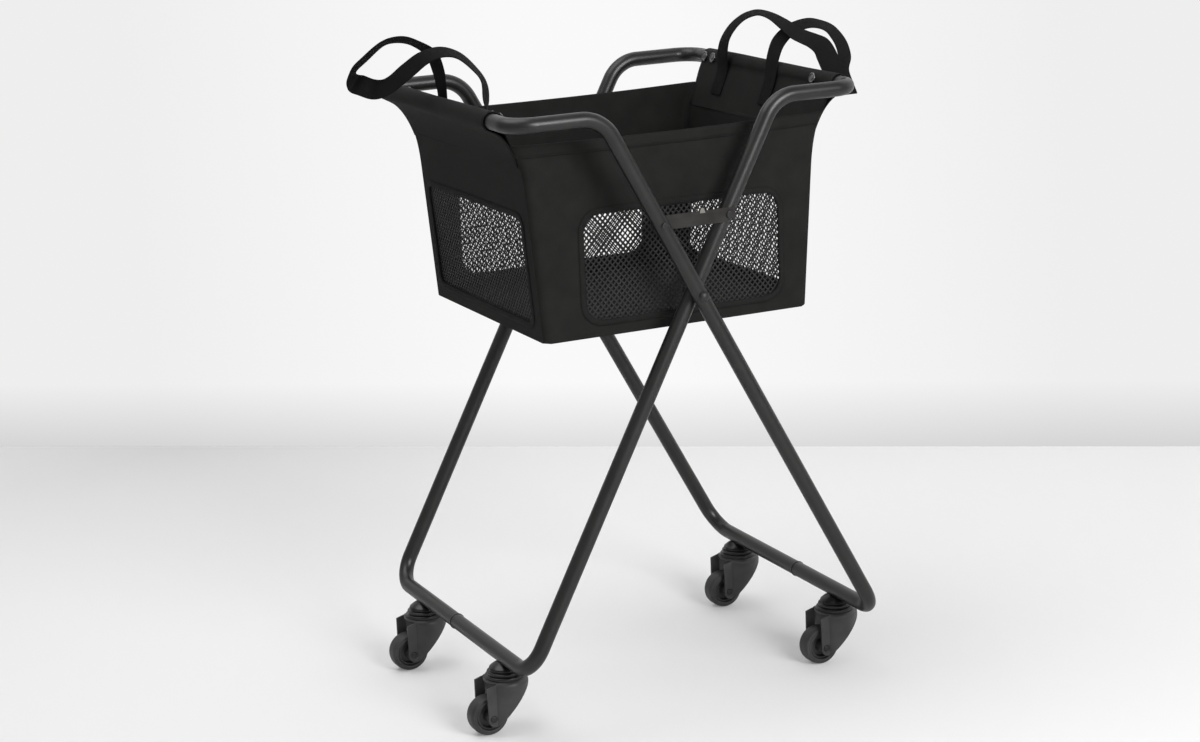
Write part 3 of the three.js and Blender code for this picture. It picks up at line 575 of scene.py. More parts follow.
caster_paint = coated("caster_paint", (0.043, 0.043, 0.044), 0.42, 0.2, 1200, 0.25, gloss=0.35)
# Near-black: the race's own colour, and on the saddle dome a painted shade for the shadow under the bar.
race_and_painted_shade_black = coated("race_and_painted_shade_black", (0.006, 0.006, 0.0062), 0.3, 0.3, 1200, 0.25)
tyre_rubber = coated("tyre_rubber", (0.036, 0.036, 0.037), 0.5, 0.3, 700, 0.4, gloss=0.4)
hub_plastic = coated("hub_plastic", (0.035, 0.035, 0.036), 0.5, 0.2, 800, 0.3)

for row in ("front", "back"):
    for end in ("left", "right"):
        name = f"caster_{row}_{end}"
        low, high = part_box(f"{name}_saddle")
        pin = Vector(((low.x + high.x) / 2, (low.y + high.y) / 2, 0))
        wheel = pin + Vector((-trail, 0, wheel_radius))
        profile = stacked(saddle_steps, low.z, high.z, saddle_corner)
        # The saddle dome is painted near-black as shade under the base bar.
        dome = turned(f"{name}_saddle_dome", profile, pin, "Z", race_and_painted_shade_black)
        fit(dome, f"{end}_frame", "caster_metal", f"{name}_saddle")
        profile = stacked(race_steps, fork_top + race_gap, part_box(f"{name}_race")[1].z, race_corner)
        race = turned(f"{name}_race_ridges", profile, pin, "Z", race_and_painted_shade_black)
        fit(race, f"{end}_frame", "caster_metal", f"{name}_race")
        fit(horn(f"{name}_fork_horn", pin), f"{name}_swivel", "caster_metal", f"{name}_fork")
        tread = turned(f"{name}_tyre_tread", tyre_section(), wheel, "Y", tyre_rubber, 72, True)
        fit(tread, f"{name}_wheel", "tyre_rubber", f"{name}_tyre")
        core = turned(f"{name}_hub_core", hub_section(), wheel, "Y", hub_plastic, 56, True)
        fit(core, f"{name}_wheel", "hub_plastic", f"{name}_hub")
        low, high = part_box(f"{name}_axle")
        head, end_y = low.y - pin.y, high.y - pin.y
        profile = [(0.0, head), (axle_head - axle_crown_in, head), (axle_head, head + axle_crown_rise),
                   (axle_head, head + axle_head_thick), (axle_radius, head + axle_head_thick),
                   (axle_radius, end_y - axle_edge), (axle_radius - axle_edge, end_y), (0.0, end_y)]
        profile = softened(profile, axle_edge, False, 2)
        bolt = turned(f"{name}_axle_bolt", profile, wheel, "Y", black_steel, 32)
        fit(bolt, f"{name}_swivel", "steel", f"{name}_axle")
        low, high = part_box(f"{name}_axle_nut")
        nut = prism(f"{name}_axle_nut_hexagon", hexagon(axle_head * 2), low.y - pin.y, high.y - pin.y,
                    wheel, black_steel, axle_edge)
        fit(nut, f"{name}_swivel", "steel", f"{name}_axle_nut")


# Basket cloth. Two straight sides and two flared ends of coated polyester are sewn round a flat floor,
# with the sides rolled round the corners. Each has a mesh window sewn in behind its cut edge.
cloth_thick = 0.0016
corner_roll = 0.010
basket_low, basket_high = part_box("basket_front_panel")
floor_z = basket_low.z
rim_z = basket_high.z
front_y = basket_low.y
back_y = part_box("basket_back_panel")[1].y
mid_y = (front_y + back_y) / 2
half_y = (back_y - front_y) / 2
foot_half = 0.205
rim_half = 0.24
taper = 0.078
flare_start = bar_z - 0.116
flare_end = bar_z - 0.015
flare_power = 2.4
flare_past_bar = 0.003
flare_out = bar_half + flare_past_bar - foot_half - taper * (flare_end - floor_z)
end_from = front_y + corner_roll
end_to = back_y - corner_roll
end_above_hem = 0.004
hem_z = bar_z - 0.068
rim_sag = 0.003
rim_sag_height = 0.1
unevenness = 0.0010
seam_hold = 0.03
stitch_pitch = 0.0036
stitch_half = 0.0004
hem_lift = 0.0008
hem_thick = 0.001
hem_width = 0.009
hem_tuck = 0.0004
rim_hem = 0.018
rim_hem_tuck = 0.0002
window_stitch_rows = (("inner", 0.0022), ("outer", 0.0066))
rim_stitches_up = 0.0024
window_z = bar_z - 0.215
window_half_z = 0.074
# Middle and half size along and up the panel, and corner radius.
windows = {
    "front": (0.010, window_z, 0.151, window_half_z, 0.025),
    "back": (-0.010, window_z, 0.151, window_half_z, 0.025),
    "left": (mid_y + 0.003, window_z, 0.165, window_half_z, 0.012),
    "right": (mid_y + 0.003, window_z, 0.165, window_half_z, 0.012),
}
facing = {"front": Vector((0, -1, 0)), "back": Vector((0, 1, 0)),
          "left": Vector((-1, 0, 0)), "right": Vector((1, 0, 0))}
sides = ("front", "back")
ring_shares = (0, 0.05, 0.12, 0.22, 0.34, 0.46, 0.58, 0.68, 0.76, 0.82, 0.86, 0.9, 0.93, 0.96, 0.98, 1)
ring_steps = 44
corner_steps, rim_steps = 6, 60
corner_free = 4


def wall_x(z):
    """How far out the end walls stand at a height: a slight taper, then the flare."""
    climb = min(1.0, max(0.0, (z - flare_start) / (flare_end - flare_start)))
    return foot_half + taper * (z - floor_z) + flare_out * (1 - math.sqrt(1 - climb ** flare_power))


def multiplied(nodes, links, first, second):
    made = nodes.new("ShaderNodeMath")
    made.operation = "MULTIPLY"
    links.new(first, made.inputs[0])
    links.new(second, made.inputs[1])
    return made.outputs["Value"]


def woven(name, colour, rough, pitch, relief, gloss):
    """Cloth with a plain weave that follows the cut of each piece."""
    made = coated(name, colour, rough, 0.16, 1500, 0.15, gloss=gloss)
    nodes, links = made.node_tree.nodes, made.node_tree.links
    cut = nodes.new("ShaderNodeTexCoord").outputs["UV"]
    heights = []
    for direction in ("X", "Y"):
        threads = added(nodes, "ShaderNodeTexWave", Scale=math.pi / 10 / pitch, Distortion=0.4, Detail=1)
        threads.bands_direction = direction
        links.new(cut, threads.inputs["Vector"])
        heights.append(threads.outputs["Fac"])
    grain = next(n for n in nodes if n.type == "BUMP")
    bump = added(nodes, "ShaderNodeBump", Strength=relief, Distance=0.0003)
    links.new(multiplied(nodes, links, *heights), bump.inputs["Height"])
    links.new(grain.outputs["Normal"], bump.inputs["Normal"])
    links.new(bump.outputs["Normal"], nodes["Principled BSDF"].inputs["Normal"])
    return made


def ripple(u, v, seed):
    """The slight unevenness of sewn cloth, from about -1 to 1."""
    waves = ((9, 5, 0.7), (4, 13, 1.9), (17, 8, 3.1), (6, 21, 4.4), (27, 11, 5.2))
    heights = (math.sin(a * u * 2 + b * v * 2 + c * seed) / (1 + i) for i, (a, b, c) in enumerate(waves))
    return sum(heights) / 2.3


def freed(distance):
    """How free the cloth is at a distance from a seam, from 0 to 1."""
    return min(1, max(0, distance / seam_hold))


def side_face(place, lift):
    """The outer face of a side, rolled round its two upright corners, or a face lifted off it."""
    out = facing[place].y
    edge_y = front_y if place == "front" else back_y

    def face(x, z):
        reach = wall_x(z)
        from_edge = reach - abs(x)
        sag = rim_sag * (1 - (x / reach) ** 2) * max(0, (z - rim_z + rim_sag_height) / rim_sag_height)
        soft = unevenness * ripple(x, z, 1 + out) * freed(from_edge) * freed(z - floor_z)
        if from_edge >= corner_roll:
            return Vector((x, edge_y + out * (soft + lift), z - sag))
        angle = (1 - max(0, from_edge) / corner_roll) * math.pi / 2
        around = corner_roll + lift
        rolled_x = math.copysign(reach - corner_roll + around * math.sin(angle), x)
        return Vector((rolled_x, edge_y + out * (soft - corner_roll + around * math.cos(angle)), z - sag))
    return face


def end_face(place, lift):
    """The outer face of a flared end, or a face lifted off it."""
    side = facing[place].x

    def face(y, z):
        free = freed(min(y - end_from, end_to - y)) * freed(z - floor_z)
        soft = unevenness * ripple(y, z, 4 + side) * free
        return Vector((side * (wall_x(z) + soft + lift), y, z))
    return face


def panel_face(place, lift=0.0):
    """Where a line drawn on the flat panel lies on the finished basket."""
    return side_face(place, lift) if place in sides else end_face(place, lift)


def side_edge(u, v):
    z = floor_z + (rim_z - floor_z) * (v + 1) / 2
    return u * wall_x(z), z


def end_edge(u, v):
    z = floor_z + (hem_z + end_above_hem - floor_z) * (v + 1) / 2
    return mid_y + u * (end_to - end_from) / 2, z


def perimeter(steps):
    """The four sides of a square walked once round, as (u, v) from -1 to 1."""
    runs = ((1, -1, 0, 2), (1, 1, -2, 0), (-1, 1, 0, -2), (-1, -1, 2, 0))
    return [(u + du * k / steps, v + dv * k / steps) for u, v, du, dv in runs for k in range(steps)]


def window_edge(u, v, window):
    """A point of the window's rounded outline from one of the square round it."""
    mid_u, mid_v, half_u, half_v, radius = window
    x, y = u * half_u, v * half_v
    inner_x, inner_y = half_u - radius, half_v - radius
    if abs(x) > inner_x and abs(y) > inner_y:
        centre = Vector((math.copysign(inner_x, x), math.copysign(inner_y, y)))
        x, y = centre + (Vector((x, y)) - centre).normalized() * radius
    return mid_u + x, mid_v + y


def window_rows(window, outer):
    """Lines that run round a panel, from its window's edge out to its own edge."""
    rows = []
    for share in ring_shares:
        row = []
        for u, v in perimeter(ring_steps):
            inner_u, inner_v = window_edge(u, v, window)
            outer_u, outer_v = outer(u, v)
            row.append((inner_u + (outer_u - inner_u) * share, inner_v + (outer_v - inner_v) * share))
        rows.append(row)
    return rows


def grown(window, by):
    """A line that runs round the window, a little outside its edge."""
    mid_u, mid_v, half_u, half_v, radius = window
    wider = (mid_u, mid_v, half_u + by, half_v + by, radius + by)
    return [window_edge(u, v, wider) for u, v in perimeter(ring_steps)]


def cloth_piece(name, rows, closed, face, thick, outward):
    """A sheet of cloth between lines drawn on a panel."""
    points = [face(u, v) for row in rows for u, v in row]
    uvs = [at for row in rows for at in row]
    made = mesh_piece(name, points, grid_faces(len(rows), len(rows[0]), False, closed), cloth, uvs)
    if made.data.polygons[len(made.data.polygons) // 2].normal.dot(outward) < 0:
        made.data.flip_normals()
    return settle(thickened(made, thick))


def stitches(name, line, face, outward):
    """A row of raised stitches along a line drawn on a panel."""
    lengths = [0.0]
    for a, b in zip(line, line[1:]):
        lengths.append(lengths[-1] + math.dist(a, b))

    def at(s):
        k = max(1, next((j for j, length in enumerate(lengths) if length >= s), len(lengths) - 1))
        part = (s - lengths[k - 1]) / max(1e-9, lengths[k] - lengths[k - 1])
        return face(*(p + (q - p) * part for p, q in zip(line[k - 1], line[k])))

    points, faces = [], []
    for n in range(int(lengths[-1] / stitch_pitch)):
        start, end = at((n + 0.12) * stitch_pitch), at((n + 0.88) * stitch_pitch)
        mid = (start + end) / 2
        across = (end - start).cross(outward).normalized() * stitch_half
        rise = outward * stitch_half
        first = len(points)
        points += [start, mid + across, end, mid - across, mid + rise, mid - rise]
        for k in range(4):
            faces.append((first + k, first + (k + 1) % 4, first + 4))
            faces.append((first + (k + 1) % 4, first + k, first + 5))
    return mesh_piece(name, points, faces, thread, None, 180)


def basket_blend(piece, *nodes, slot="cloth"):
    """Cloth between the two frames, its place baked into its mesh, standing for the solids named."""
    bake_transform(piece)
    if nodes:
        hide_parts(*nodes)


cloth = woven("basket_cloth", (0.0145, 0.0143, 0.0137), 0.75, 0.0009, 0.4, 0.1)
thread = coated("thread", (0.012, 0.012, 0.012), 0.6, 0.2, 2500, 0.5, gloss=0.2)
for place, outward in facing.items():
    rows = window_rows(windows[place], side_edge if place in sides else end_edge)
    panel = cloth_piece(f"{place}_cloth", rows, True, panel_face(place), cloth_thick, outward)
    basket_blend(panel, f"basket_{place}_panel")
    raised = panel_face(place, hem_lift)
    rows = [grown(windows[place], hem_width * share - hem_tuck) for share in (0, 0.5, 1)]
    basket_blend(cloth_piece(f"{place}_window_hem", rows, True, raised, hem_thick, outward))
    for row, by in window_stitch_rows:
        line = grown(windows[place], by)
        basket_blend(stitches(f"{place}_window_{row}_stitches", line + line[:1], raised, outward))

flat_share = 1 - corner_roll / rim_half
corner_shares = [flat_share + (1 - flat_share) * (k + 1) / corner_steps for k in range(corner_steps)]
rim_shares = [flat_share * (-1 + 2 * k / rim_steps) for k in range(rim_steps + 1)]
rim_shares = [-share for share in corner_shares[::-1]] + rim_shares + corner_shares


def rim_line(z):
    return [(share * wall_x(z), z) for share in rim_shares]


for place in sides:
    raised = panel_face(place, hem_lift)
    rows = [rim_line(rim_z + rim_hem_tuck - rim_hem * share) for share in (0, 0.3, 0.65, 1)]
    basket_blend(cloth_piece(f"{place}_rim_hem", rows, False, raised, hem_thick, facing[place]))
    line = rim_line(rim_z - rim_hem + rim_stitches_up)[corner_free:-corner_free]
    basket_blend(stitches(f"{place}_rim_stitches", line, raised, facing[place]))

floor_columns, floor_rows = 40, 36
floor_inset = 0.0005
floor_thick = 0.002
floor_lift = 0.0006
floor_unevenness = 0.0008
floor_points, floor_uvs = [], []
for i in range(floor_rows + 1):
    for k in range(floor_columns + 1):
        x = (-1 + 2 * k / floor_columns) * (foot_half - floor_inset)
        y = front_y + floor_inset + 2 * (half_y - floor_inset) * i / floor_rows
        free = freed(foot_half - abs(x)) * freed(y - front_y) * freed(back_y - y)
        past_x = abs(x) - (foot_half - floor_inset - corner_roll)
        past_y = abs(y - mid_y) - (half_y - floor_inset - corner_roll)
        if past_x > 0 and past_y > 0:
            pull = 1 - max(past_x, past_y) / math.hypot(past_x, past_y)
            x -= math.copysign(past_x * pull, x)
            y -= math.copysign(past_y * pull, y - mid_y)
        soft = floor_unevenness * ripple(x, y, 7) * free
        floor_points.append(Vector((x, y, floor_z + floor_lift + soft)))
        floor_uvs.append((x, y))
floor_faces = grid_faces(floor_rows + 1, floor_columns + 1)
floor_cloth = mesh_piece("floor_cloth", floor_points, floor_faces, cloth, floor_uvs)
basket_blend(settle(thickened(floor_cloth, floor_thick, 1)), "basket_floor")


# Window mesh. A knitted net of black polyester with small upright diamonds, stretched flat behind each
# window and sewn down round it.
net_wide = 0.0083
net_high = 0.0094
net_knot = 0.0014
net_thick = 0.0006
net_seam = 0.006
net_behind = -cloth_thick - net_thick


def net_piece(name, window, face):
    """A sheet of knots joined by slanting strands, a little larger than its window."""
    mid_u, mid_v, half_u, half_v, _ = window
    step_u, step_v = net_wide / 2, net_high / 2
    columns = int((half_u + net_seam) / step_u)
    rows = int((half_v + net_seam) / step_v)
    corners = ((net_knot, 0), (0, net_knot), (-net_knot, 0), (0, -net_knot))
    points, faces, uvs, knots = [], [], [], {}
    for i in range(-columns, columns + 1):
        for k in range(-rows, rows + 1):
            if (i + k) % 2:
                continue
            knots[i, k] = len(points)
            for du, dv in corners:
                u, v = mid_u + i * step_u + du, mid_v + k * step_v + dv
                points.append(face(u, v))
                uvs.append((u, v))
    for (i, k), first in knots.items():
        faces.append((first, first + 1, first + 2, first + 3))
        right, left = knots.get((i + 1, k + 1)), knots.get((i - 1, k + 1))
        if right is not None:
            faces.append((first, right + 3, right + 2, first + 1))
        if left is not None:
            faces.append((first + 1, left, left + 3, first + 2))
    made = mesh_piece(name, points, faces, net_yarn, uvs, 180)
    return settle(thickened(made, net_thick, 0))


net_yarn = coated("net_yarn", (0.013, 0.013, 0.013), 0.6, 0.3, 2500, 0.5, gloss=0.3)
for place in facing:
    net = net_piece(f"{place}_net", windows[place], panel_face(place, net_behind))
    basket_blend(net, f"{place}_window_net", slot="mesh_cloth")


# Bar sleeves. Each end panel's cloth is turned over its top bar and sewn down through itself in a hem
# below the bar, which leaves a channel for the tube that stands open at both ends. Three snaps close it.
sleeve_radius = tube_radius + 0.0024
sleeve_thick = 0.0014
sleeve_inset = 0.0027
sleeve_tuck = 0.009
sleeve_tuck_height = 0.05
sleeve_wrap = math.pi + 0.25
sleeve_slack = 0.0007
sleeve_steps = 70
hem_proud = 0.0022
hem_behind = 0.0026
hem_height = 0.02
hem_stitches_in = 0.004
snap_places = (0.190, 0.164, -0.137)
snap_angle = math.radians(166)
snap_reach = sleeve_radius + 0.0006
snap_corner = 0.0005
# The left sleeve is on the right frame's top bar, and the other way about.
bar_bodies = {"left": "right_frame", "right": "left_frame"}


def sleeve_section():
    """The sleeve's outer face from the outside hem over the bar to the inside hem."""
    flare = [(wall_x(z) + hem_proud, z) for z in (hem_z + (flare_end - hem_z) * k / 18 for k in range(18))]
    start = math.atan2(flare_end - bar_z, flare_past_bar + hem_proud)
    over = [(bar_half + sleeve_radius * math.cos(a), bar_z + sleeve_radius * math.sin(a))
            for a in (start + (sleeve_wrap - start) * k / 26 for k in range(27))]
    x, z = over[-1]
    hem_x = wall_x(hem_z) - hem_behind
    down = [(x + (hem_x - x) * k / 10, z + (hem_z - z) * k / 10) for k in range(1, 11)]
    return flare + over + down


def sleeve(name, side):
    """The sleeve with its ends slanting in below the bar and a little slack round it."""
    section = [(side * x, z) for x, z in sleeve_section()]
    points, uvs = [], []
    for i in range(sleeve_steps + 1):
        length = 0.0
        for k, (x, z) in enumerate(section):
            inset = sleeve_inset + sleeve_tuck * (1 - min(1, (z - hem_z) / sleeve_tuck_height))
            y = front_y + inset + 2 * (half_y - inset) * i / sleeve_steps
            before, after = section[k - 1], section[(k + 1) % len(section)]
            if k:
                length += math.hypot(x - before[0], z - before[1])
            normal = Vector((after[1] - before[1], before[0] - after[0])).normalized() * side
            slack = sleeve_slack * ripple(y, z * 2, side + 9) * min(1, max(0, (z - hem_z) / hem_height))
            points.append(Vector((x + normal.x * slack, y, z + normal.y * slack)))
            uvs.append((length, y))
    faces = grid_faces(sleeve_steps + 1, len(section), False, True)
    return settle(thickened(mesh_piece(name, points, faces, cloth, uvs), sleeve_thick))


def hem_face(side):
    """The outer face of the sleeve's hem."""
    def face(y, z):
        return Vector((side * (wall_x(z) + hem_proud), y, z))
    return face


snap_steel = coated("snap_steel", (0.16, 0.16, 0.16), 0.35, 0.2, 900, 0.2, metal=1.0)
snap_profile = softened([(0.0, 0.0014), (0.0033, 0.0013), (0.0041, 0.0008), (0.0051, 0.0010),
                         (0.0063, 0.0016), (0.0075, 0.0010), (0.0077, -0.0008), (0.0, -0.0008)],
                        snap_corner, False, 3)
snap_lean = Matrix.Rotation(math.radians(90) - snap_angle, 4, "Y")
snap_x = bar_half + snap_reach * math.cos(snap_angle)
snap_z = bar_z + snap_reach * math.sin(snap_angle)
for place, body in bar_bodies.items():
    side = facing[place].x
    fit(sleeve(f"{place}_sleeve_cloth", side), body, "cloth", f"{place}_bar_sleeve")
    line_z = hem_z + hem_stitches_in
    line = [(end_from + hem_stitches_in, line_z), (end_to - hem_stitches_in, line_z)]
    fit(stitches(f"{place}_sleeve_stitches", line, hem_face(side), facing[place]), body, "cloth")
    for number, along in enumerate(snap_places):
        snap_name = f"{place}_sleeve_snap_{number + 1}"
        snap = turned(snap_name, snap_profile, Vector((0, 0, 0)), "Z", snap_steel, 32)
        snap.data.transform(Matrix.Translation((snap_x, along, snap_z)) @ snap_lean)
        if side < 0:
            snap.data.transform(Matrix.Rotation(math.pi, 4, "Z"))
        fit(snap, body, "steel")


# Carry straps. One length of 30 mm webbing stands in loops on each bar, with both ends sewn flat
# against the sleeve's inner face. Each row of a route is a place and the direction of the width.
strap_half = 0.015
strap_thick = 0.0018
strap_corner = 0.0007
strap_gap = 0.0004
strap_root_drop = 0.046
strap_free_drop = 0.014
strap_samples = 320
box_half = 0.011
box_top, box_foot = 0.020, 0.042
box_gap = 0.0005
left_route = (
    (-0.018, 0.027, 0.018, 0.05, 1.00, -0.10),
    (-0.015, 0.029, 0.045, 0.17, 0.96, -0.24),
    (-0.007, 0.033, 0.069, 0.15, 0.95, -0.27),
    (0.013, 0.038, 0.084, -0.10, 0.93, -0.33),
    (0.028, 0.042, 0.090, -0.26, 0.88, -0.40),
    (0.044, 0.049, 0.090, -0.38, 0.86, -0.35),
    (0.056, 0.057, 0.085, -0.48, 0.84, -0.27),
    (0.079, 0.070, 0.064, -0.50, 0.82, -0.29),
    (0.090, 0.076, 0.053, -0.53, 0.82, -0.23),
    (0.094, 0.079, 0.045, -0.63, 0.78, 0.00),
    (0.095, 0.080, 0.038, -0.74, 0.59, 0.33),
    (0.092, 0.079, 0.032, -0.66, 0.34, 0.67),
    (0.085, 0.071, 0.029, -0.46, 0.25, 0.85),
    (0.074, 0.059, 0.024, -0.36, 0.33, 0.87),
    (0.066, 0.043, 0.025, -0.33, 0.51, 0.79),
    (0.058, 0.027, 0.032, -0.22, 0.64, 0.74),
    (0.041, 0.001, 0.053, 0.07, 0.84, 0.54),
    (0.023, -0.019, 0.071, 0.09, 0.91, 0.40),
    (0.003, -0.034, 0.078, -0.22, 0.91, 0.36),
    (-0.015, -0.047, 0.073, -0.48, 0.86, 0.15),
    (-0.030, -0.070, 0.054, -0.58, 0.81, -0.08),
    (-0.031, -0.095, 0.040, -0.58, 0.79, -0.19),
    (-0.021, -0.124, 0.018, -0.58, 0.81, -0.05),
)
left_roots = (0.027, -0.130)
right_route = (
    (-0.020, 0.119, 0.016, 0.00, 1.00, 0.00),
    (-0.017, 0.115, 0.036, 0.06, 1.00, -0.04),
    (-0.007, 0.108, 0.055, 0.15, 0.98, 0.05),
    (0.003, 0.096, 0.068, 0.31, 0.94, 0.14),
    (0.008, 0.076, 0.0755, 0.38, 0.91, 0.16),
    (0.008, 0.050, 0.079, 0.45, 0.88, 0.18),
    (0.010, 0.020, 0.076, 0.60, 0.77, 0.22),
    (0.013, -0.010, 0.067, 0.70, 0.62, 0.34),
    (0.015, -0.040, 0.057, 0.69, 0.54, 0.48),
    (0.019, -0.057, 0.052, 0.70, 0.53, 0.48),
    (0.025, -0.076, 0.047, 0.76, 0.40, 0.52),
    (0.029, -0.091, 0.041, 0.80, 0.10, 0.59),
    (0.029, -0.105, 0.030, 0.81, -0.30, 0.50),
    (0.029, -0.117, 0.017, 0.82, -0.40, 0.42),
    (0.031, -0.127, 0.003, 0.85, -0.36, 0.38),
    (0.034, -0.136, -0.010, 0.93, -0.20, 0.29),
    (0.041, -0.139, -0.022, 0.99, -0.08, 0.12),
    (0.048, -0.133, -0.026, 1.00, 0.00, 0.00),
    (0.052, -0.120, -0.015, 0.98, 0.18, 0.00),
    (0.053, -0.110, 0.005, 0.92, 0.38, -0.02),
    (0.058, -0.108, 0.023, 0.92, 0.38, -0.06),
    (0.060, -0.097, 0.040, 0.90, 0.44, 0.04),
    (0.060, -0.082, 0.052, 0.84, 0.52, 0.12),
    (0.057, -0.067, 0.062, 0.74, 0.64, 0.19),
    (0.050, -0.050, 0.067, 0.60, 0.76, 0.27),
    (0.040, -0.036, 0.068, 0.43, 0.83, 0.37),
    (0.022, -0.020, 0.060, 0.15, 0.92, 0.35),
    (0.004, -0.013, 0.043, -0.07, 0.96, 0.28),
    (-0.009, -0.018, 0.023, -0.10, 0.99, 0.08),
)
right_roots = (0.122, -0.024)


def between(first, second, start, end, t):
    return first * ((end - t) / (end - start)) + second * ((t - start) / (end - start))


def smooth_path(knots, samples):
    """Places and widths along a curve that passes through the knots."""
    spaced = [0.0]
    for a, b in zip(knots, knots[1:]):
        spaced.append(spaced[-1] + max(1e-6, (b[0] - a[0]).length) ** 0.5)
    made = []
    for i in range(samples + 1):
        t = spaced[-1] * i / samples
        k = max(j for j in range(len(knots) - 1) if spaced[j] <= t + 1e-12)
        picked = [max(0, k - 1), k, k + 1, min(len(knots) - 1, k + 2)]
        t0, t1, t2, t3 = (spaced[j] for j in picked)
        t0 = t0 if t0 < t1 else t1 - (t2 - t1)
        t3 = t3 if t3 > t2 else t2 + (t2 - t1)
        values = []
        for part in (0, 1):
            p0, p1, p2, p3 = (knots[j][part] for j in picked)
            if picked[0] == k:
                p0 = p1 * 2 - p2
            if picked[3] == k + 1:
                p3 = p2 * 2 - p1
            a1 = between(p0, p1, t0, t1, t)
            a2 = between(p1, p2, t1, t2, t)
            a3 = between(p2, p3, t2, t3, t)
            b1 = between(a1, a2, t0, t2, t)
            b2 = between(a2, a3, t1, t3, t)
            values.append(between(b1, b2, t1, t2, t))
        made.append(values)
    return made


def inner_face(y, drop, side, off):
    """A place off the sleeve's inner face, at a distance below the bar."""
    top = bar_half - sleeve_radius
    face_x = top + (wall_x(hem_z) - hem_behind - top) * drop / (bar_z - hem_z)
    return Vector((side * (face_x - off), y, bar_z - drop))


def sewn_end_face(y, side):
    """The face of a strap's sewn end, for the stitches in it."""
    def face(across, drop):
        return inner_face(y + across, drop, side, strap_thick + box_gap)
    return face


def strap(place, route, roots):
    side, body, name = facing[place].x, bar_bodies[place], f"{place}_strap_webbing"
    knots = []
    for out, along, up, wx, wy, wz in route:
        at = Vector((side * (bar_half + out), along, bar_z + up))
        knots.append((at, Vector((side * wx, wy, wz)).normalized()))
    sewn = [[(inner_face(y, drop, side, strap_thick / 2 + strap_gap), Vector((0, 1, 0)))
             for drop in (strap_root_drop, strap_free_drop)] for y in roots]
    path = smooth_path(sewn[0] + knots + sewn[1][::-1], strap_samples)
    half = strap_thick / 2
    section = softened([(strap_half, -half), (strap_half, half), (-strap_half, half), (-strap_half, -half)],
                       strap_corner, True, 3)
    points, uvs = [], []
    length = 0.0
    for i, (at, across) in enumerate(path):
        heading = (path[min(i + 1, strap_samples)][0] - path[max(i - 1, 0)][0]).normalized()
        if i:
            length += (at - path[i - 1][0]).length
        across = across.normalized()
        face = heading.cross(across).normalized()
        for u, v in section:
            points.append(at + across * u + face * v)
            uvs.append((u, length))
    columns = len(section)
    faces = grid_faces(len(path), columns, False, True)
    faces += [tuple(range(columns)), tuple(range(len(points) - 1, len(points) - columns - 1, -1))]
    fit(mesh_piece(name, points, faces, webbing, uvs), body, "webbing", f"{place}_carry_strap")
    box = [(-box_half, box_top), (box_half, box_top), (box_half, box_foot), (-box_half, box_foot),
           (-box_half, box_top), (box_half, box_foot)]
    for number, y in enumerate(roots):
        box_name = f"{name}_box_stitches_{number + 1}"
        fit(stitches(box_name, box, sewn_end_face(y, side), -facing[place]), body, "webbing")


webbing = woven("webbing", (0.0075, 0.0075, 0.0075), 0.75, 0.0014, 0.6, 0.08)
strap("left", left_route, left_roots)
strap("right", right_route, right_roots)


# Floor, wall, light and camera. A pale floor in front of a white wall under soft studio light, seen
# from where the cart was photographed: a little to its left and from above its basket.
floor_reach = 14.0
floor_tone = 0.72
floor_glow_from, floor_glow_to = 1.6, 5.0
floor_near_glow, floor_far_glow = 0.15, 0.58
wall_tone = 0.8
wall_centre = Vector((0.480, 1.121, 0))
wall_heading = math.radians(-33.99)
wall_half = 7.0
wall_height = 5.0
wall_foot = 0.13
wall_foot_shade, wall_shade = 0.72, 0.93
wall_side_from, wall_side_to = 0.15, 0.9
wall_middle_shade, wall_side_shade = 1.02, 0.92
open_air = 0.34
open_air_seen = 0.92
lamp_aim = Vector((0, 0, 0.5))
azimuth = math.radians(-25.01)
elevation = math.radians(14.059)
roll = math.radians(-2.454)
distance = 3.80681
target = Vector((-0.03557, 0, 0.46131))
lens = 78.14


def ranged(nodes, links, value, low, high, to_low, to_high):
    """A value that goes from one level to another between two places."""
    spread = added(nodes, "ShaderNodeMapRange", From_Min=low, From_Max=high, To_Min=to_low, To_Max=to_high)
    links.new(value, spread.inputs["Value"])
    return spread.outputs["Result"]


def mixed(nodes, links, share, first, second):
    """The first shader where the share is 0, and the second where it is 1."""
    made = nodes.new("ShaderNodeMixShader")
    links.new(share, made.inputs[0])
    links.new(first.outputs[0], made.inputs[1])
    links.new(second.outputs[0], made.inputs[2])
    return made


def stage_piece(name, half, near, far, material):
    """A flat sheet of the stage, as wide to the left as to the right."""
    flat = bpy.data.meshes.new(name)
    flat.from_pydata([(-half, near, 0), (half, near, 0), (half, far, 0), (-half, far, 0)], [], [(0, 1, 2, 3)])
    flat.materials.append(material)
    made = bpy.data.objects.new(name, flat)
    bpy.context.scene.collection.objects.link(made)
    return made


pale_floor = bpy.data.materials.new("pale_floor")
pale_floor.use_nodes = True
nodes, links = pale_floor.node_tree.nodes, pale_floor.node_tree.links
shader = nodes["Principled BSDF"]
shader.inputs["Base Color"].default_value = (floor_tone, floor_tone, floor_tone, 1)
shader.inputs["Roughness"].default_value = 0.8
shader.inputs["Specular IOR Level"].default_value = 0.1
shader.inputs["Emission Color"].default_value = (1, 1, 1, 1)
away = nodes.new("ShaderNodeVectorMath")
away.operation = "LENGTH"
links.new(nodes.new("ShaderNodeTexCoord").outputs["Object"], away.inputs[0])
floor_glow = ranged(nodes, links, away.outputs["Value"], floor_glow_from, floor_glow_to,
                    floor_near_glow, floor_far_glow)
seen = nodes.new("ShaderNodeLightPath").outputs["Is Camera Ray"]
links.new(multiplied(nodes, links, floor_glow, seen), shader.inputs["Emission Strength"])
stage_piece("floor", floor_reach, -floor_reach, floor_reach, pale_floor)

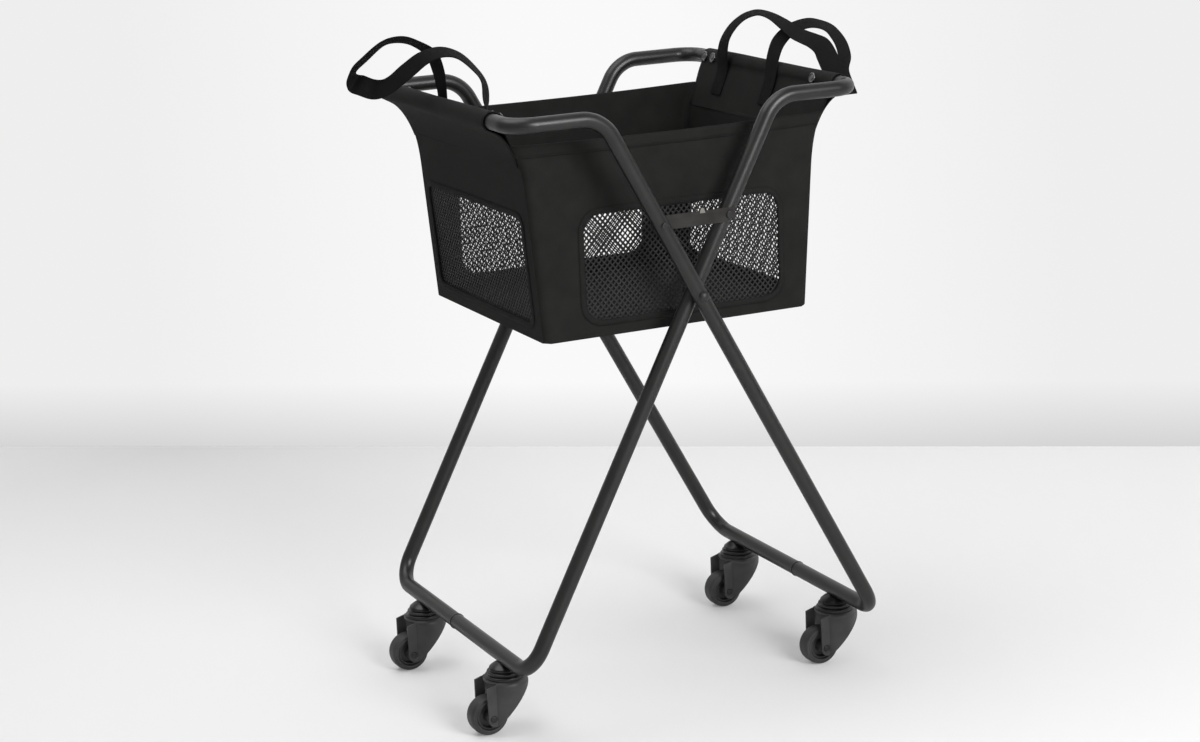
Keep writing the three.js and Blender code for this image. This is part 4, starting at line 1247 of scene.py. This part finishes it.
white_wall = bpy.data.materials.new("white_wall")
white_wall.use_nodes = True
nodes, links = white_wall.node_tree.nodes, white_wall.node_tree.links
nodes.remove(nodes["Principled BSDF"])
place = nodes.new("ShaderNodeSeparateXYZ")
links.new(nodes.new("ShaderNodeTexCoord").outputs["Object"], place.inputs["Vector"])
foot_shade = ranged(nodes, links, place.outputs["Y"], 0.0, wall_foot, wall_foot_shade, wall_shade)
from_middle = nodes.new("ShaderNodeMath")
from_middle.operation = "ABSOLUTE"
links.new(place.outputs["X"], from_middle.inputs[0])
side_shade = ranged(nodes, links, from_middle.outputs["Value"], wall_side_from, wall_side_to,
                    wall_middle_shade, wall_side_shade)
glow = nodes.new("ShaderNodeEmission")
links.new(multiplied(nodes, links, foot_shade, side_shade), glow.inputs["Strength"])
matt = added(nodes, "ShaderNodeBsdfDiffuse", Color=(wall_tone, wall_tone, wall_tone, 1))
seen = nodes.new("ShaderNodeLightPath").outputs["Is Camera Ray"]
behind = nodes.new("ShaderNodeNewGeometry").outputs["Backfacing"]
front = mixed(nodes, links, seen, matt, glow)
surface = mixed(nodes, links, behind, front, nodes.new("ShaderNodeBsdfTransparent"))
links.new(surface.outputs[0], nodes["Material Output"].inputs["Surface"])
wall = stage_piece("wall", wall_half, 0, wall_height, white_wall)
wall.matrix_world = (Matrix.Translation(wall_centre) @ Matrix.Rotation(wall_heading, 4, "Z")
                     @ Matrix.Rotation(math.pi / 2, 4, "X"))

world = bpy.data.worlds.new("studio")
bpy.context.scene.world = world
world.use_nodes = True
nodes, links = world.node_tree.nodes, world.node_tree.links
fill = nodes["Background"]
fill.inputs["Color"].default_value = (1, 1, 1, 1)
seen = nodes.new("ShaderNodeLightPath").outputs["Is Camera Ray"]
links.new(ranged(nodes, links, seen, 0, 1, open_air, open_air_seen), fill.inputs["Strength"])


def lamp(name, at, size, watts):
    data = bpy.data.lights.new(name, "AREA")
    data.shape = "RECTANGLE"
    data.size, data.size_y = size, size
    data.energy = watts
    made = bpy.data.objects.new(name, data)
    made.location = at
    made.rotation_mode = "QUATERNION"
    made.rotation_quaternion = (lamp_aim - Vector(at)).to_track_quat("-Z", "Y")
    bpy.context.scene.collection.objects.link(made)


lamp("key", (0.6, -3.3, 2.0), 1.6, 100)
lamp("top", (-1.0, 0.3, 3.0), 2.2, 36)

out_level = math.cos(elevation)
back = Vector((math.sin(azimuth) * out_level, -math.cos(azimuth) * out_level, math.sin(elevation)))
right = Vector((math.cos(azimuth), math.sin(azimuth), 0))
up = back.cross(right)
tilted_right = right * math.cos(roll) + up * math.sin(roll)
tilted_up = up * math.cos(roll) - right * math.sin(roll)
eye = bpy.data.cameras.new("photo_view")
eye.lens = lens
eye.sensor_width = 36
camera = bpy.data.objects.new("photo_view", eye)
turn = Matrix((tilted_right, tilted_up, back)).transposed().to_4x4()
camera.matrix_world = Matrix.Translation(target + back * distance) @ turn
bpy.context.scene.collection.objects.link(camera)
bpy.context.scene.camera = camera
bpy.context.scene.view_settings.view_transform = "Standard"
